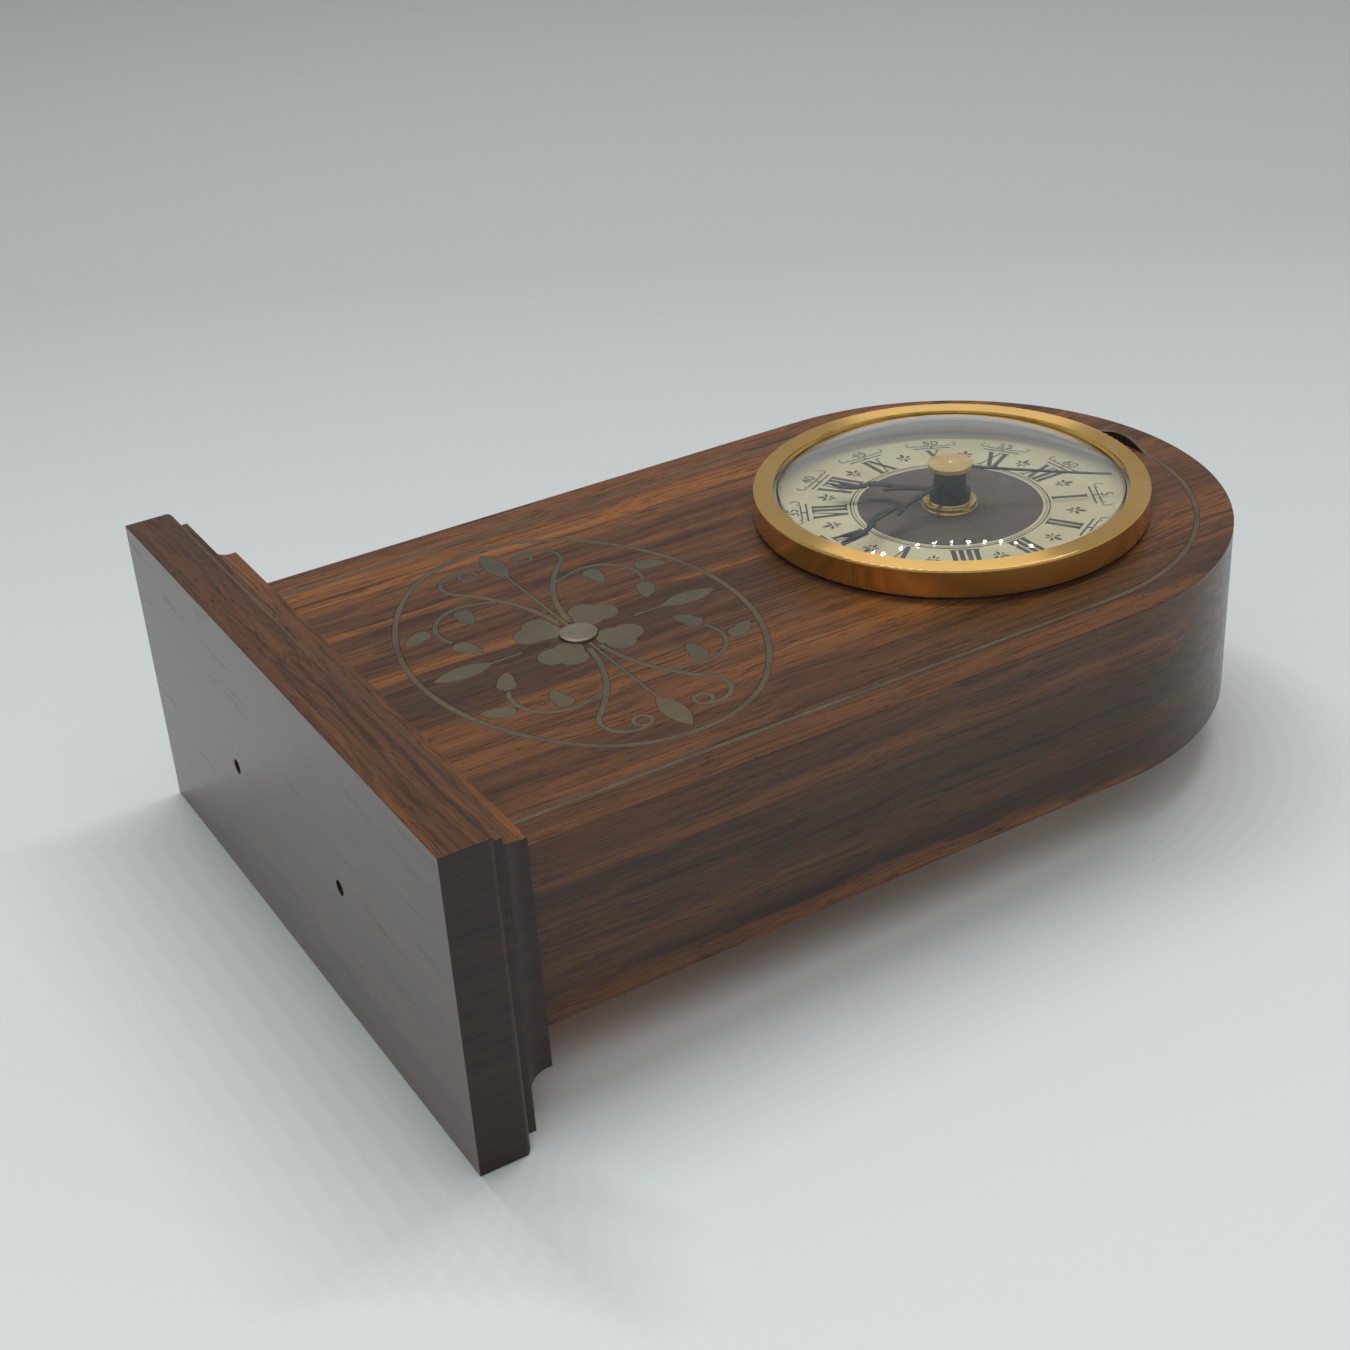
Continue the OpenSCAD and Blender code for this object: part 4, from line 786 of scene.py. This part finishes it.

# %% [markdown]
# ## The table
#
# The clock lies on a pale table, which in the clock's frame is an upright sheet behind it. The
# sheet shows only its front, so the clock can also be seen from behind. A second sheet under the
# plinth serves the upright views and is seen only from above. The paper is painted darker beyond
# the clock, a painted shade for light that falls off with distance.

# %% Lay the table
# the paper darkens from TABLE_NEAR to TABLE_FAR beyond the clock, a painted shade for light falling
# off
TABLE_NEAR, TABLE_FAR = (0.92, 0.965, 0.96, 1), (0.53, 0.56, 0.555, 1)
FALLOFF_SHADE_STARTS, FALLOFF_SHADE_FULL, FALLOFF_SHADE_TURN = 0.12, -0.34, math.radians(-29.5)
PAPER_ROUGH = 0.75
REACH, TABLE_GAP, FLOOR_GAP = 3.0, 0.2 * MM, 0.1 * MM
SQUARE = ((-REACH, -REACH), (REACH, -REACH), (REACH, REACH), (-REACH, REACH))


def sheet(name, corners):
    mesh = bpy.data.meshes.new(name)
    mesh.from_pydata(corners, [], [(0, 1, 2, 3)])
    made = bpy.data.objects.new(name, mesh)
    bpy.context.scene.collection.objects.link(made)
    material, tree, shader = start_finish(name)
    away = add(tree, "ShaderNodeSeparateXYZ", {0: place_on(tree, turn=(0, FALLOFF_SHADE_TURN, 0))})
    # painted shade: the colour darkens along the turned axis, away from the clock
    shade = spread(tree, away.outputs[0], FALLOFF_SHADE_STARTS, FALLOFF_SHADE_FULL)
    tree.links.new(mix(tree, shade, TABLE_NEAR, TABLE_FAR), shader.inputs["Base Color"])
    shader.inputs["Roughness"].default_value = PAPER_ROUGH
    behind = add(tree, "ShaderNodeNewGeometry").outputs["Backfacing"]
    clear = add(tree, "ShaderNodeBsdfTransparent").outputs["BSDF"]
    sides = {0: behind, 1: shader.outputs["BSDF"], 2: clear}
    one_sided = add(tree, "ShaderNodeMixShader", sides).outputs["Shader"]
    tree.links.new(one_sided, tree.nodes["Material Output"].inputs["Surface"])
    mesh.materials.append(material)
    return made


table_y, floor_z = plinth_high.y + TABLE_GAP, -FLOOR_GAP
table = sheet("table", [(x, table_y, z) for x, z in SQUARE])
floor = sheet("upright_floor", [(x, y, floor_z) for x, y in SQUARE])
floor.visible_diffuse = floor.visible_glossy = False
floor.visible_transmission = floor.visible_shadow = False
print("sheets:", table.name, floor.name)

# %% [markdown]
# ## The lamps
#
# A bent bar of small lamps hangs high over the left of the table. Its row of sparks shows in the
# lens, and the turned rings of the bezel draw it out into two bright arcs. One broad lamp fills the
# shadows. A second one lights the back of the clock for the views from behind. The table would
# block it, so shadow linking lets only the clock's own pieces shade that lamp.

# %% Hang the lamps
BAR_BENDS = [(-0.52, -0.06), (-0.31, 0.077), (-0.138, 0.325), (-0.015, 0.591)]
BAR_Y, LAMPS_PER_STRETCH = -0.80, 5
BAR_LAMP_SIZE, BAR_LAMP_POWER = 0.012, 0.22
# place, size in metres and power in watts
BROAD_LAMP = ((0.35, -1.1, -0.05), 1.2, 2.3)
BACK_LAMP = ((-0.5, 1.5, 0.7), 1.0, 14)
middle = Vector((0, 0, (plinth_low.z + case_high.z) / 2))


def soft_lamp(name, place, size, power):
    data = bpy.data.lights.new(name, "AREA")
    data.shape, data.size, data.energy = "DISK", size, power
    lamp = bpy.data.objects.new(name, data)
    bpy.context.scene.collection.objects.link(lamp)
    lamp.location = place
    lamp.rotation_euler = (middle - Vector(place)).to_track_quat("-Z", "Y").to_euler()
    return lamp


for part, (start, end) in enumerate(zip(BAR_BENDS, BAR_BENDS[1:])):
    for k in range(LAMPS_PER_STRETCH):
        x, z = Vector(start).lerp(Vector(end), k / LAMPS_PER_STRETCH)
        soft_lamp(f"bar_lamp_{part}_{k}", (x, BAR_Y, z), BAR_LAMP_SIZE, BAR_LAMP_POWER)
broad_lamp = soft_lamp("broad_lamp", *BROAD_LAMP)
back_lamp = soft_lamp("back_lamp", *BACK_LAMP)
broad_lamp.visible_glossy = back_lamp.visible_glossy = False
shading_pieces = bpy.data.collections.new("shading_pieces")
for piece in bpy.data.objects:
    if piece.type == "MESH" and piece not in (table, floor):
        shading_pieces.objects.link(piece)
back_lamp.light_linking.blocker_collection = shading_pieces
print("lamps:", len(bpy.data.lights))

# %% [markdown]
# ## The sky
#
# A dim even sky fills the shadows. A picture of a room could do that, but one colour needs no file.
# Light Path tells what kind of ray asks, so that the sky can look a little brighter in the brass
# and paler behind the clock than the light that it gives.

# %% Light the sky
SKY_COLOUR = (0.95, 0.98, 1.0, 1)
SKY_GIVES, SKY_MIRRORED, SKY_SEEN = 0.34, 0.40, 0.75
world = bpy.data.worlds.new("even_sky")
bpy.context.scene.world = world
world.use_nodes = True
tree = world.node_tree
sky = tree.nodes["Background"]
sky.inputs["Color"].default_value = SKY_COLOUR
ray = add(tree, "ShaderNodeLightPath").outputs
mirrored = between(tree, ray["Is Glossy Ray"], SKY_GIVES, SKY_MIRRORED)
strength = between(tree, ray["Is Camera Ray"], mirrored, SKY_SEEN)
tree.links.new(strength, sky.inputs["Strength"])
bpy.context.scene.view_settings.view_transform = "Standard"
print("sky gives", SKY_GIVES, "and is seen at", SKY_SEEN)
